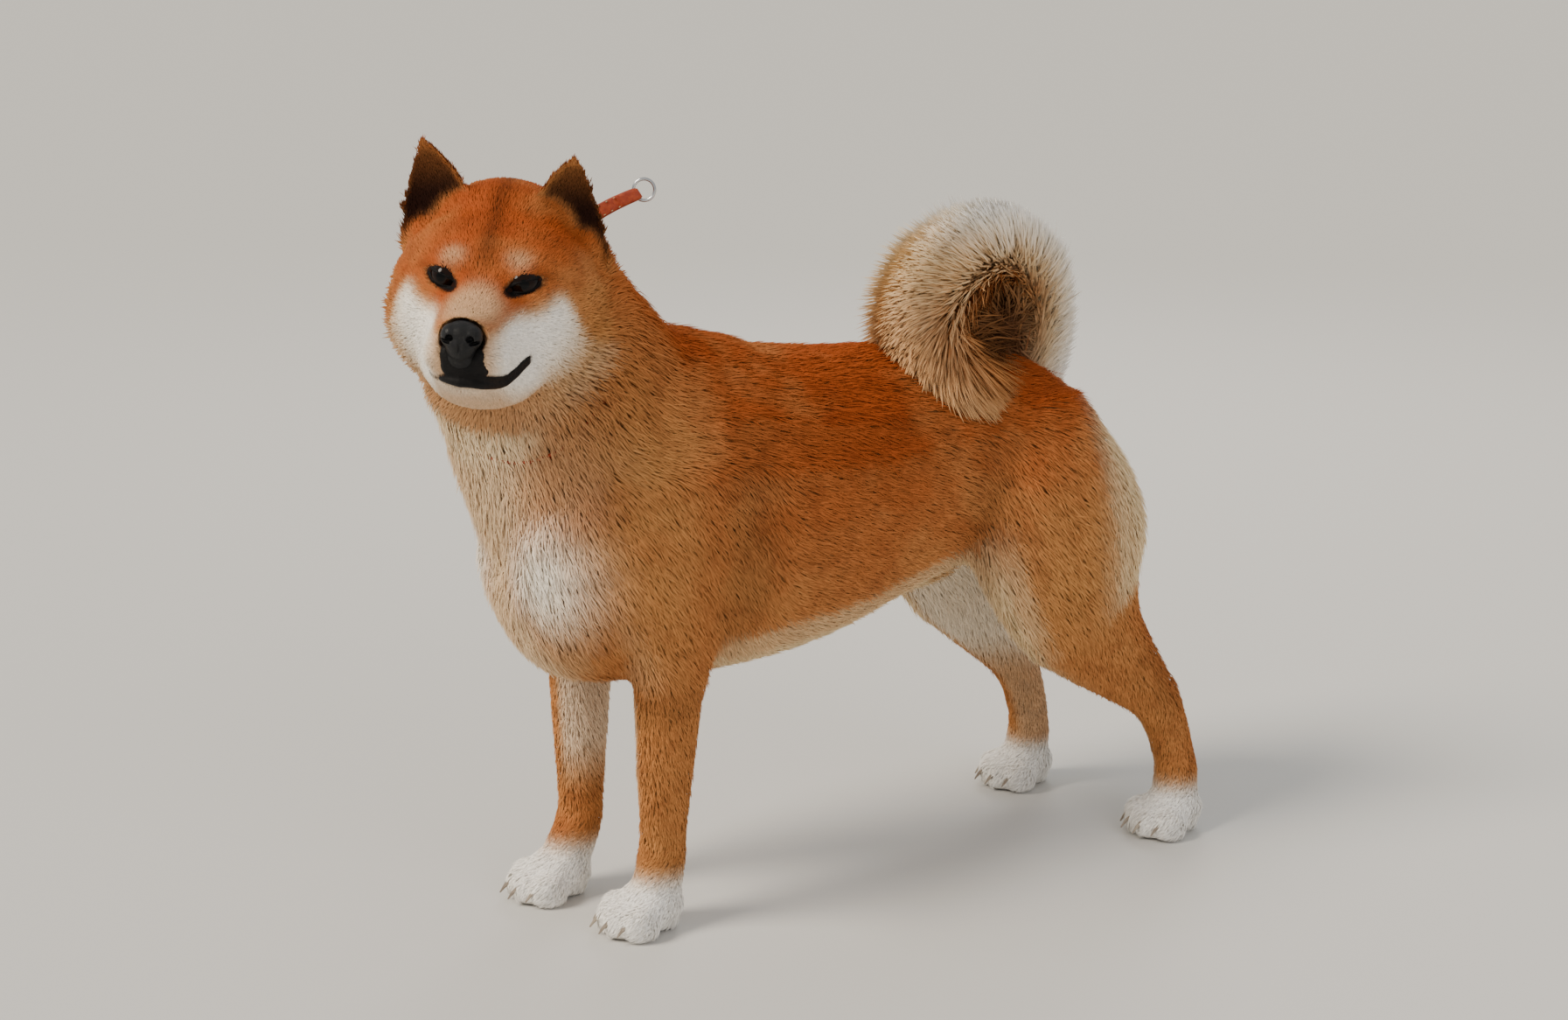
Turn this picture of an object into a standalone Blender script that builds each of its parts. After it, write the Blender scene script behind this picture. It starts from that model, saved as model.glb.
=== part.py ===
"""A shiba inu standing at life size: four straight legs, head turned to its left, tail curled over the back.

Lengths are in metres. While the dog is being built, x runs to its left, y to its rear and z up from the
floor midway between the forepaws. The last step moves it so that its bounding box is centred on the origin.
"""

import math
import random

import bmesh
import bpy
from mathutils import Matrix, Vector
from mathutils.bvhtree import BVHTree

# Driving sizes
WITHERS = 0.392
TRUNK_LENGTH = 0.455
CHEST_FRONT = -0.062
CHEST_HALF_WIDTH = 0.088
GAP = 0.0003

# Head: where it is carried and how far it is turned
HEAD_AT = Vector((0.022, -0.0690, 0.422))
HEAD_TURN = math.radians(58.2)
HEAD_NOD = math.radians(-4.6)
HEAD_TILT = math.radians(5.0)
EYE_AT = Vector((0.0222, -0.0362, 0.0160))
EYE_RADIUS = 0.0112
EYE_OUTWARD = math.radians(14)
LID_THICKNESS = 0.0016
NOSE_AT = Vector((0, -0.1055, -0.0125))
EAR_ROOTS = {1: Vector((0.0445, 0.013, 0.036)), -1: Vector((0.0420, 0.013, 0.037))}
EAR_TIPS = {1: Vector((0.0445, 0.006, 0.0915)), -1: Vector((0.0530, 0.006, 0.0945))}
EAR_HALF_WIDTH = 0.0280

# Feet: where the middle of each paw stands, left side first
FORE_PAWS = {1: Vector((0.042, 0.020, 0)), -1: Vector((-0.042, -0.008, 0))}
HIND_PAWS = {1: Vector((0.070, 0.436, 0)), -1: Vector((-0.070, 0.402, 0))}
TOE_RADIUS = 0.0096
CLAW_LENGTH = 0.008
CLAW_RADIUS = 0.0022

# Collar: a plane through the neck, and the tab that stands off to the ring
NAPE_OF_COLLAR = Vector((-0.029, -0.002, 0.450))
THROAT_OF_COLLAR = Vector((-0.004, -0.078, 0.318))
COLLAR_ACROSS = Vector((0.82, 0.57, 0))
STRAP_WIDTH = 0.010
STRAP_THICKNESS = 0.003
RING_AT = Vector((0.000, 0.046, 0.4835))
RING_RADIUS = 0.0068
RING_WIRE = 0.0011

# Tail: a slim core and the locks that stand on it, out to the coat's radius
TAIL_LENGTHS = 4
TAIL_STEP = 0.0094
TAIL_RADIUS = 0.0345
TAIL_SEED = 21
CORE_SHARE = 0.48
CORE_END = 2.0
LOCK_RINGS = (4, 4, 4, 2)
LOCKS_AROUND = 6
LOCK_WIDTH = 0.0245
LOCK_THICKNESS = 0.0048
LOCK_CLEARANCE = 0.0022
# Along a lock: shares of the coat's radius out from the line and along it, of its width and of its thickness
LOCK_FORM = ((0.24, 0.00, 0.40, 0.8), (0.77, 0.28, 0.95, 1.0), (0.94, 0.80, 0.88, 0.7), (1.00, 1.30, 0.08, 0.15))
TIP_LOCKS = 8
TIP_LOCK_LENGTH = 0.026
TIP_BACK = 3.2
FAN_FALL = Vector((0.10, 0.15, -0.98))

# Mesh sizes
BODY_VOXEL = 0.004
FINE_VOXEL = 0.0023
SIDES = {1: "left", -1: "right"}
FAR = 1.0

HEAD_FRAME = (
    Matrix.Translation(HEAD_AT)
    @ Matrix.Rotation(HEAD_TURN, 4, "Z")
    @ Matrix.Rotation(HEAD_NOD, 4, "X")
    @ Matrix.Rotation(HEAD_TILT, 4, "Y")
)

COATS = {
    "red_coat": ((0.48, 0.17, 0.045), 0.85, 0.0),
    "cream_coat": ((0.80, 0.68, 0.50), 0.85, 0.0),
    "nose_leather": ((0.012, 0.011, 0.012), 0.45, 0.0),
    "eye": ((0.02, 0.012, 0.008), 0.08, 0.0),
    "claw": ((0.10, 0.08, 0.065), 0.40, 0.0),
    "collar_leather": ((0.42, 0.09, 0.02), 0.55, 0.0),
    "ring_steel": ((0.75, 0.75, 0.76), 0.25, 1.0),
}


def clear_scene():
    for obj in list(bpy.data.objects):
        bpy.data.objects.remove(obj, do_unlink=True)


def material(name):
    found = bpy.data.materials.get(name)
    if found:
        return found
    made = bpy.data.materials.new(name)
    made.use_nodes = True
    shader = made.node_tree.nodes["Principled BSDF"]
    colour, roughness, metallic = COATS[name]
    shader.inputs["Base Color"].default_value = (*colour, 1)
    shader.inputs["Roughness"].default_value = roughness
    shader.inputs["Metallic"].default_value = metallic
    return made


def add_object(name, mesh):
    obj = bpy.data.objects.new(name, mesh)
    bpy.context.scene.collection.objects.link(obj)
    return obj


def discard(*objects):
    for obj in objects:
        bpy.data.objects.remove(obj, do_unlink=True)


def bake(obj):
    """Replaces the object's mesh by what its modifiers make of it."""
    graph = bpy.context.evaluated_depsgraph_get()
    mesh = bpy.data.meshes.new_from_object(obj.evaluated_get(graph))
    obj.modifiers.clear()
    obj.data = mesh
    return obj


def eased(stations, steps=3):
    """The stations with points of a Catmull-Rom curve between them."""
    found = []
    last = len(stations) - 1
    for i in range(last):
        before, here = stations[max(i - 1, 0)], stations[i]
        there, after = stations[i + 1], stations[min(i + 2, last)]
        for k in range(steps):
            t = k / steps
            found.append(
                tuple(
                    0.5 * (2 * q + (r - p) * t + (2 * p - 5 * q + 4 * r - s) * t**2 + (3 * q - p - 3 * r + s) * t**3)
                    for p, q, r, s in zip(before, here, there, after)
                )
            )
    found.append(tuple(stations[-1]))
    return found


def loft(sections, sides=20, power=2.0):
    """A closed mesh through sections, each a centre with two half axes."""
    shape = bmesh.new()
    rings = []
    for centre, across, deep in sections:
        ring = []
        for k in range(sides):
            c, s = math.cos(math.tau * k / sides), math.sin(math.tau * k / sides)
            out = math.copysign(abs(c) ** (2 / power), c)
            up = math.copysign(abs(s) ** (2 / power), s)
            ring.append(shape.verts.new(centre + across * out + deep * up))
        rings.append(ring)
    for low, high in zip(rings, rings[1:]):
        for k in range(sides):
            after = (k + 1) % sides
            shape.faces.new((low[k], low[after], high[after], high[k]))
    shape.faces.new(rings[0])
    shape.faces.new(rings[-1])
    bmesh.ops.recalc_face_normals(shape, faces=shape.faces)
    return shape


def barrel(stations, power=2.0):
    """A loft along y. A station is y, top, bottom and half width."""
    sections = [
        (Vector((0, y, (top + bottom) / 2)), Vector((half, 0, 0)), Vector((0, 0, (top - bottom) / 2)))
        for y, top, bottom, half in eased(stations)
    ]
    return loft(sections, power=power)


def limb(stations):
    """A loft along a bent line. A station is x, y, z, half width and half depth."""
    points = eased(stations)
    sections = []
    for i, (x, y, z, wide, deep) in enumerate(points):
        run = Vector(points[min(i + 1, len(points) - 1)][:3]) - Vector(points[max(i - 1, 0)][:3])
        run.normalize()
        across = Vector((1, 0, 0))
        across = (across - run * across.dot(run)).normalized()
        sections.append((Vector((x, y, z)), across * wide, run.cross(across) * deep))
    return loft(sections, sides=16)


def ellipsoid(at, radii, turn=Matrix.Identity(4), around=20):
    shape = bmesh.new()
    frame = Matrix.Translation(Vector(at)) @ turn @ Matrix.Diagonal((*radii, 1))
    bmesh.ops.create_uvsphere(shape, u_segments=around, v_segments=around * 3 // 5, radius=1, matrix=frame)
    return shape


def gathered(name, shapes):
    """One object that holds every shape as it is."""
    whole = bmesh.new()
    for shape in shapes:
        part = bpy.data.meshes.new(name)
        shape.to_mesh(part)
        shape.free()
        whole.from_mesh(part)
        bpy.data.meshes.remove(part)
    mesh = bpy.data.meshes.new(name)
    whole.to_mesh(mesh)
    whole.free()
    return add_object(name, mesh)


def fused(name, shapes, voxel, passes, triangles):
    """The shapes melted into one smooth skin of about so many triangles."""
    obj = gathered(name, shapes)
    remesh = obj.modifiers.new("melt", "REMESH")
    remesh.mode = "VOXEL"
    remesh.voxel_size = voxel
    smooth = obj.modifiers.new("smooth", "SMOOTH")
    smooth.factor = 0.5
    smooth.iterations = passes
    bake(obj)
    thin = obj.modifiers.new("thin", "DECIMATE")
    thin.ratio = min(1.0, triangles / (2 * len(obj.data.polygons)))
    thin.use_collapse_triangulate = True
    return bake(obj)


def copy_of(obj, name="copy"):
    return add_object(name, obj.data.copy())


def swollen(obj, by=GAP):
    """A copy grown outwards, to cut a seat with a gap all round."""
    grown = copy_of(obj)
    shape = bmesh.new()
    shape.from_mesh(grown.data)
    shape.normal_update()
    for vert in shape.verts:
        vert.co += vert.normal * by
    shape.to_mesh(grown.data)
    shape.free()
    return grown


def keep_largest(obj):
    """Drops loose scraps that a cut leaves, and welds slivers away."""
    shape = bmesh.new()
    shape.from_mesh(obj.data)
    bmesh.ops.remove_doubles(shape, verts=shape.verts, dist=2e-7)
    bodies, seen = [], set()
    for start in shape.faces:
        if start in seen:
            continue
        body, front = [], [start]
        seen.add(start)
        while front:
            face = front.pop()
            body.append(face)
            for edge in face.edges:
                if len(edge.link_faces) != 2:
                    continue
                for other in edge.link_faces:
                    if other not in seen:
                        seen.add(other)
                        front.append(other)
        bodies.append(body)
    bodies.sort(key=lambda faces: sum(face.calc_area() for face in faces))
    for body in bodies[:-1]:
        bmesh.ops.delete(shape, geom=body, context="FACES")
    bmesh.ops.triangulate(shape, faces=shape.faces)
    shape.to_mesh(obj.data)
    shape.free()
    return obj


def combine(obj, others, operation, solver="EXACT"):
    """Cuts from, or joins to, the object each of the others, which are then removed."""
    for other in others:
        step = obj.modifiers.new(operation, "BOOLEAN")
        step.operation = operation
        step.object = other
        step.solver = solver
        bake(obj)
        discard(other)
    return obj


def box(centre, half, grow=0.0, turn=Matrix.Identity(4)):
    """A cutter with its faces moved out by grow."""
    shape = bmesh.new()
    frame = Matrix.Translation(Vector(centre)) @ turn
    size = Matrix.Diagonal((*[2 * (h + grow) for h in half], 1))
    bmesh.ops.create_cube(shape, size=1, matrix=frame @ size)
    mesh = bpy.data.meshes.new("cutter")
    shape.to_mesh(mesh)
    shape.free()
    cutter = add_object("cutter", mesh)
    cutter.hide_render = True
    cutter.display_type = "WIRE"
    return cutter


def beyond(at, normal, shift):
    """A cutter that fills the side of a plane its normal points to, moved along the normal by shift."""
    normal = Vector(normal).normalized()
    turn = normal.to_track_quat("Z", "Y").to_matrix().to_4x4()
    return box(Vector(at) + normal * (FAR + shift), (FAR, FAR, FAR), turn=turn)


def split(obj, name, at, normal):
    """Parts the object at a plane. The side the normal points to becomes a new object with that name."""
    far = copy_of(obj, name)
    combine(far, [beyond(at, normal, GAP / 2)], "INTERSECT")
    combine(obj, [beyond(at, normal, -GAP / 2)], "DIFFERENCE")
    keep_largest(far)
    keep_largest(obj)
    return far


def carve_off(obj, name, blocks):
    """Parts off what lies inside the blocks, each a centre and half sizes, as a new object with that name."""

    def cutter(grow):
        first, *more = [box(centre, half, grow) for centre, half in blocks]
        return combine(first, more, "UNION")

    taken = copy_of(obj, name)
    combine(taken, [cutter(-GAP / 2)], "INTERSECT")
    combine(obj, [cutter(GAP / 2)], "DIFFERENCE")
    keep_largest(taken)
    keep_largest(obj)
    return taken


def in_head(shape):
    """Moves a shape from the head's own frame into place."""
    bmesh.ops.transform(shape, matrix=HEAD_FRAME, verts=shape.verts)
    return shape


def mirrored(vector, side):
    return Vector((vector[0] * side, vector[1], vector[2]))


def torso_shapes():
    """Ribs, loin and croup. Heights are shares of the withers' height, places shares of the trunk's length."""
    top, end, wide = WITHERS, TRUNK_LENGTH, CHEST_HALF_WIDTH
    stations = [
        (0.000, 0.740, 0.575, 0.42),
        (0.037, 0.830, 0.480, 0.72),
        (0.103, 0.915, 0.430, 0.92),
        (0.268, 0.995, 0.412, 0.99),
        (0.400, 0.972, 0.420, 1.00),
        (0.520, 0.955, 0.447, 0.96),
        (0.653, 0.948, 0.500, 0.86),
        (0.796, 0.935, 0.557, 0.84),
        (0.901, 0.890, 0.600, 0.76),
        (0.982, 0.815, 0.660, 0.50),
    ]
    placed = [(CHEST_FRONT + end * a, top * b, top * c, wide * d) for a, b, c, d in stations]
    # The furred sheath under the loin
    sheath = ellipsoid((0, 0.262, 0.207), (0.013, 0.034, 0.014), Matrix.Rotation(math.radians(12), 4, "X"))
    rump = ellipsoid((0, 0.350, 0.280), (0.046, 0.038, 0.058))
    return [barrel(placed, power=2.2), sheath, rump]


def neck_shapes():
    """A thick neck between the line of the nape and the line of the throat, turning with the head.

    A station is a point of the nape, a point of the throat, half the width and the turn of the width.
    """
    stations = [
        (0.000, 0.110, 0.386, 0.000, 0.000, 0.200, 0.078, 0),
        (0.000, 0.076, 0.394, -0.002, -0.044, 0.222, 0.079, 0),
        (-0.002, 0.053, 0.402, -0.002, -0.065, 0.262, 0.074, 5),
        (-0.006, 0.034, 0.421, 0.000, -0.074, 0.296, 0.069, 14),
        (-0.012, 0.016, 0.444, 0.006, -0.079, 0.326, 0.065, 26),
        (-0.018, -0.001, 0.466, 0.014, -0.080, 0.346, 0.061, 38),
        (-0.021, -0.018, 0.482, 0.022, -0.078, 0.362, 0.057, 50),
    ]
    sections = []
    for *spots, half, turn in eased(stations):
        nape, throat = Vector(spots[:3]), Vector(spots[3:])
        across = Vector((math.cos(math.radians(turn)), math.sin(math.radians(turn)), 0))
        sections.append(((nape + throat) / 2, across * half, (nape - throat) / 2))
    return [loft(sections, power=2.2)]


def head_shapes():
    """Skull, muzzle, cheeks and crown in the head's own frame, then set in place."""
    muzzle = [
        (-0.1085, -0.0005, -0.0330, 0.0150),
        (-0.1000, 0.0010, -0.0425, 0.0200),
        (-0.0850, 0.0035, -0.0485, 0.0243),
        (-0.0680, 0.0080, -0.0540, 0.0280),
        (-0.0540, 0.0160, -0.0585, 0.0318),
        (-0.0400, 0.0240, -0.0620, 0.0370),
        (-0.0200, 0.0300, -0.0640, 0.0450),
    ]
    skull = [
        (-0.0490, 0.0200, -0.0260, 0.0300),
        (-0.0420, 0.0320, -0.0360, 0.0430),
        (-0.0260, 0.0460, -0.0500, 0.0560),
        (-0.0060, 0.0560, -0.0600, 0.0640),
        (0.0200, 0.0600, -0.0630, 0.0665),
        (0.0480, 0.0600, -0.0580, 0.0620),
        (0.0740, 0.0480, -0.0480, 0.0480),
    ]
    shapes = [barrel(muzzle, power=2.3), barrel(skull, power=2.15)]
    for side in SIDES:
        shapes.append(ellipsoid(mirrored((0.036, 0.020, -0.012), side), (0.0315, 0.036, 0.034)))
        shapes.append(ellipsoid(mirrored((0.0125, -0.088, -0.024), side), (0.0135, 0.0200, 0.0120)))
        shapes.append(ellipsoid(mirrored((0.0460, 0.036, 0.026), side), (0.0190, 0.0200, 0.0230)))
    shapes.append(ellipsoid((0, -0.086, -0.0405), (0.0165, 0.020, 0.0085)))
    shapes.append(ellipsoid((0, 0.036, 0.0430), (0.045, 0.050, 0.0330)))
    return [in_head(shape) for shape in shapes]


def foreleg_shapes(side):
    """Shoulder to pastern. The leg leans from the elbow to wherever its paw stands."""
    paw = FORE_PAWS[side]
    reach = paw.y - FORE_PAWS[1].y
    stations = [
        (0.046, 0.062, 0.318, 0.024, 0.044, 0.00),
        (0.060, 0.014, 0.262, 0.028, 0.050, 0.00),
        (0.061, 0.030, 0.208, 0.024, 0.034, 0.15),
        (0.058, 0.030, 0.168, 0.0215, 0.0245, 0.30),
        (0.052, 0.030, 0.118, 0.0190, 0.0205, 0.45),
        (0.046, 0.031, 0.072, 0.0155, 0.0168, 0.60),
        (0.043, 0.031, 0.048, 0.0160, 0.0165, 0.75),
        (0.042, 0.026, 0.022, 0.0175, 0.0175, 1.00),
    ]
    return [limb([(x * side, y + reach * lean, z, a, b) for x, y, z, a, b, lean in stations])]


def hindleg_shapes(side):
    """Thigh to pastern. The leg is stretched to wherever its paw stands."""
    paw = HIND_PAWS[side]
    reach = paw.y - HIND_PAWS[1].y
    stations = [
        (0.034, 0.315, 0.322, 0.036, 0.050, 0.0),
        (0.050, 0.326, 0.278, 0.038, 0.067, 0.0),
        (0.060, 0.337, 0.232, 0.034, 0.074, 0.1),
        (0.066, 0.347, 0.190, 0.028, 0.060, 0.25),
        (0.066, 0.372, 0.154, 0.0215, 0.0400, 0.5),
        (0.066, 0.402, 0.124, 0.0175, 0.0270, 0.8),
        (0.066, 0.424, 0.100, 0.0160, 0.0195, 0.95),
        (0.067, 0.437, 0.070, 0.0155, 0.0165, 1.0),
        (0.069, 0.442, 0.045, 0.0160, 0.0165, 1.0),
        (0.070, 0.440, 0.022, 0.0170, 0.0170, 1.0),
    ]
    line = limb([(x * side, y + reach * lean, z, a, b) for x, y, z, a, b, lean in stations])
    heel = ellipsoid((0.066 * side, 0.432 + reach, 0.106), (0.0100, 0.0105, 0.0140))
    return [line, heel]


def toes_of(paw):
    """Centres of the four toes, from the right side of the foot to its left."""
    spots = ((-0.0180, -0.0120), (-0.0068, -0.0200), (0.0068, -0.0200), (0.0180, -0.0120))
    return [paw + Vector((x, y, 0.0115)) for x, y in spots]


def paw_shapes(paw):
    """Foot, four toes and the heel pad. They reach a little under the floor, where the sole is cut flat."""
    shapes = [
        ellipsoid(paw + Vector((0, 0.003, 0.018)), (0.0205, 0.0235, 0.0185)),
        ellipsoid(paw + Vector((0, 0.011, 0.008)), (0.0150, 0.0115, 0.0100)),
    ]
    for toe in toes_of(paw):
        shapes.append(ellipsoid(toe, (TOE_RADIUS, 0.0140, 0.0130), Matrix.Rotation(math.radians(-12), 4, "X")))
    return shapes


def claw(name, toe):
    """A short curved claw that leaves the front of its toe and stays off the floor."""
    sections = []
    steps = 2
    for i in range(steps + 1):
        share = i / steps
        bend = math.radians(15 + 40 * share)
        along = Vector((0, -math.cos(bend), -math.sin(bend)))
        at = toe + Vector((0, -0.0112 - CLAW_LENGTH * share * 0.93, 0.0010 - 0.0060 * share**1.7))
        size = CLAW_RADIUS * (1 - 0.75 * share)
        across = Vector((1, 0, 0))
        sections.append((at, across * size * 0.8, across.cross(along) * size))
    return gathered(name, [loft(sections, sides=5)])


def ear_shape(side):
    """A cupped triangle: each section is a crescent, open to the front and a little outwards."""
    shape = bmesh.new()
    across = Vector((0.87, 0.38, -0.36)).normalized()
    back = Vector((-0.38, 0.92, 0.04)).normalized()
    rings = []
    layers, arc = 8, 6
    for i in range(layers + 1):
        share = i / layers
        centre = EAR_ROOTS[side].lerp(EAR_TIPS[side], share) + back * 0.004 * math.sin(math.pi * share)
        half = EAR_HALF_WIDTH * (1 - share**1.8) * (1 + 0.12 * share) + 0.0026
        depth = 0.0180 * (1 - 0.78 * share)
        wall = 0.0046 - 0.0018 * share
        outer = [
            centre + across * half * math.sin(a) + back * depth * math.cos(a)
            for a in [math.pi * (k / arc - 0.5) for k in range(arc + 1)]
        ]
        inner = [
            centre + across * (half - wall * 0.8) * math.sin(a) + back * (depth - wall) * math.cos(a)
            for a in [math.pi * (0.5 - k / arc) for k in range(arc + 1)]
        ]
        rings.append([shape.verts.new(mirrored(p, side)) for p in outer + inner[1:-1]])
    count = len(rings[0])
    for low, high in zip(rings, rings[1:]):
        for k in range(count):
            after = (k + 1) % count
            shape.faces.new((low[k], low[after], high[after], high[k]))
    shape.faces.new(rings[0])
    shape.faces.new(rings[-1])
    bmesh.ops.triangulate(shape, faces=shape.faces)
    bmesh.ops.recalc_face_normals(shape, faces=shape.faces)
    return in_head(shape)


def eye_frame(side):
    """The eye's own frame: y runs back from the pupil."""
    turn = Matrix.Rotation(EYE_OUTWARD * side, 4, "Z")
    return HEAD_FRAME @ Matrix.Translation(mirrored(EYE_AT, side)) @ turn


def eyeball(name, side, radius):
    shape = bmesh.new()
    frame = eye_frame(side) @ Matrix.Rotation(math.radians(90), 4, "X")
    bmesh.ops.create_uvsphere(shape, u_segments=14, v_segments=9, radius=radius, matrix=frame)
    return gathered(name, [shape])


def lid_opening(side):
    """A three-cornered slit, higher at its outer corner, that opens the lids in front of the eye."""
    outline = [
        (-0.0098, -0.0036),
        (-0.0050, 0.0014),
        (0.0005, 0.0038),
        (0.0060, 0.0048),
        (0.0102, 0.0040),
        (0.0078, -0.0006),
        (0.0030, -0.0036),
        (-0.0035, -0.0046),
    ]
    shape = bmesh.new()
    rings = []
    for y, widen in ((-0.001, 0.70), (-0.030, 1.55)):
        rings.append([shape.verts.new((x * side * widen, y, z * widen)) for x, z in outline])
    for k in range(len(outline)):
        after = (k + 1) % len(outline)
        shape.faces.new((rings[0][k], rings[0][after], rings[1][after], rings[1][k]))
    shape.faces.new(rings[0])
    shape.faces.new(rings[1])
    bmesh.ops.recalc_face_normals(shape, faces=shape.faces)
    bmesh.ops.transform(shape, matrix=eye_frame(side), verts=shape.verts)
    return gathered("opening", [shape])


def nose():
    """Nose leather with two nostrils and the groove between them."""
    shapes = [
        ellipsoid(NOSE_AT, (0.0130, 0.0105, 0.0092)),
        ellipsoid(NOSE_AT + Vector((0, -0.0022, -0.0045)), (0.0085, 0.0090, 0.0090)),
    ]
    for side in SIDES:
        shapes.append(ellipsoid(NOSE_AT + Vector((0.0072 * side, -0.0025, 0.0005)), (0.0063, 0.0080, 0.0073)))
    obj = fused("nose", [in_head(shape) for shape in shapes], 0.0012, 4, 300)
    pits = []
    for side in SIDES:
        pit = ellipsoid(NOSE_AT + Vector((0.0070 * side, -0.0115, -0.0008)), (0.0026, 0.0055, 0.0022), around=8)
        slit = ellipsoid(NOSE_AT + Vector((0.0100 * side, -0.0085, -0.0024)), (0.0034, 0.0040, 0.0011), around=8)
        pits += [gathered("pit", [in_head(pit)]), gathered("slit", [in_head(slit)])]
    groove = ellipsoid(NOSE_AT + Vector((0, -0.0125, -0.0075)), (0.0008, 0.0035, 0.0075), around=8)
    pits.append(gathered("groove", [in_head(groove)]))
    return keep_largest(combine(obj, pits, "DIFFERENCE"))


def wire(name, points, radius):
    """A round bar through the points, as a closed mesh."""
    curve = bpy.data.curves.new(name, "CURVE")
    curve.dimensions = "3D"
    curve.bevel_depth = radius
    curve.bevel_resolution = 1
    curve.use_fill_caps = True
    line = curve.splines.new("POLY")
    line.points.add(len(points) - 1)
    for spot, point in zip(line.points, points):
        spot.co = (*point, 1)
    drawn = add_object(name, curve)
    graph = bpy.context.evaluated_depsgraph_get()
    mesh = bpy.data.meshes.new_from_object(drawn.evaluated_get(graph))
    discard(drawn)
    shape = bmesh.new()
    shape.from_mesh(mesh)
    bmesh.ops.remove_doubles(shape, verts=shape.verts, dist=1e-5)
    bmesh.ops.recalc_face_normals(shape, faces=shape.faces)
    shape.to_mesh(mesh)
    shape.free()
    return add_object(name, mesh)


def mouth_line(skin, out):
    """Points of the closed mouth, from one corner round the muzzle to the other, moved out from the skin."""
    tree = BVHTree.FromObject(skin, bpy.context.evaluated_depsgraph_get())
    stations = eased([(0, -0.0380), (35, -0.0396), (70, -0.0388), (96, -0.0345), (121, -0.0275)], 3)
    points = []
    for turn, height in [(-a, z) for a, z in reversed(stations[1:])] + stations:
        turn = math.radians(turn)
        aim = HEAD_FRAME.to_3x3() @ Vector((math.sin(turn), -math.cos(turn), 0))
        hit = tree.ray_cast(HEAD_FRAME @ Vector((0, -0.070, height)), aim, 0.1)[0]
        points.append(hit + aim * out)
    return points


def head():
    """The skull and muzzle, with lids, lips, and seats for the nose and eyes."""
    skin = fused("head", head_shapes() + neck_shapes(), FINE_VOXEL, 5, 2600)
    discard(split(skin, "nape", *head_cut()))
    lips = wire("lips", mouth_line(skin, -0.0010), 0.0025)
    groove = wire("groove", mouth_line(skin, 0.0006), 0.0012)
    lids = [eyeball("lid", side, EYE_RADIUS + GAP + LID_THICKNESS) for side in SIDES]
    combine(skin, [lips, *lids], "UNION")
    openings = [lid_opening(side) for side in SIDES]
    sockets = [eyeball("socket", side, EYE_RADIUS + GAP) for side in SIDES]
    return combine(skin, [groove, *sockets, *openings], "DIFFERENCE")


def head_cut():
    """Where the head ends: a plane behind the ears and under the jaw, its normal towards the neck."""
    return Vector((-0.011, -0.059, 0.394)), Vector((-0.55, 0.63, -0.55))


def neck_cut():
    """Where the neck ends: a plane from the withers to the breastbone, its normal towards the torso."""
    return Vector((0, 0.000, 0.335)), Vector((0, 0.70, -0.72))


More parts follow.
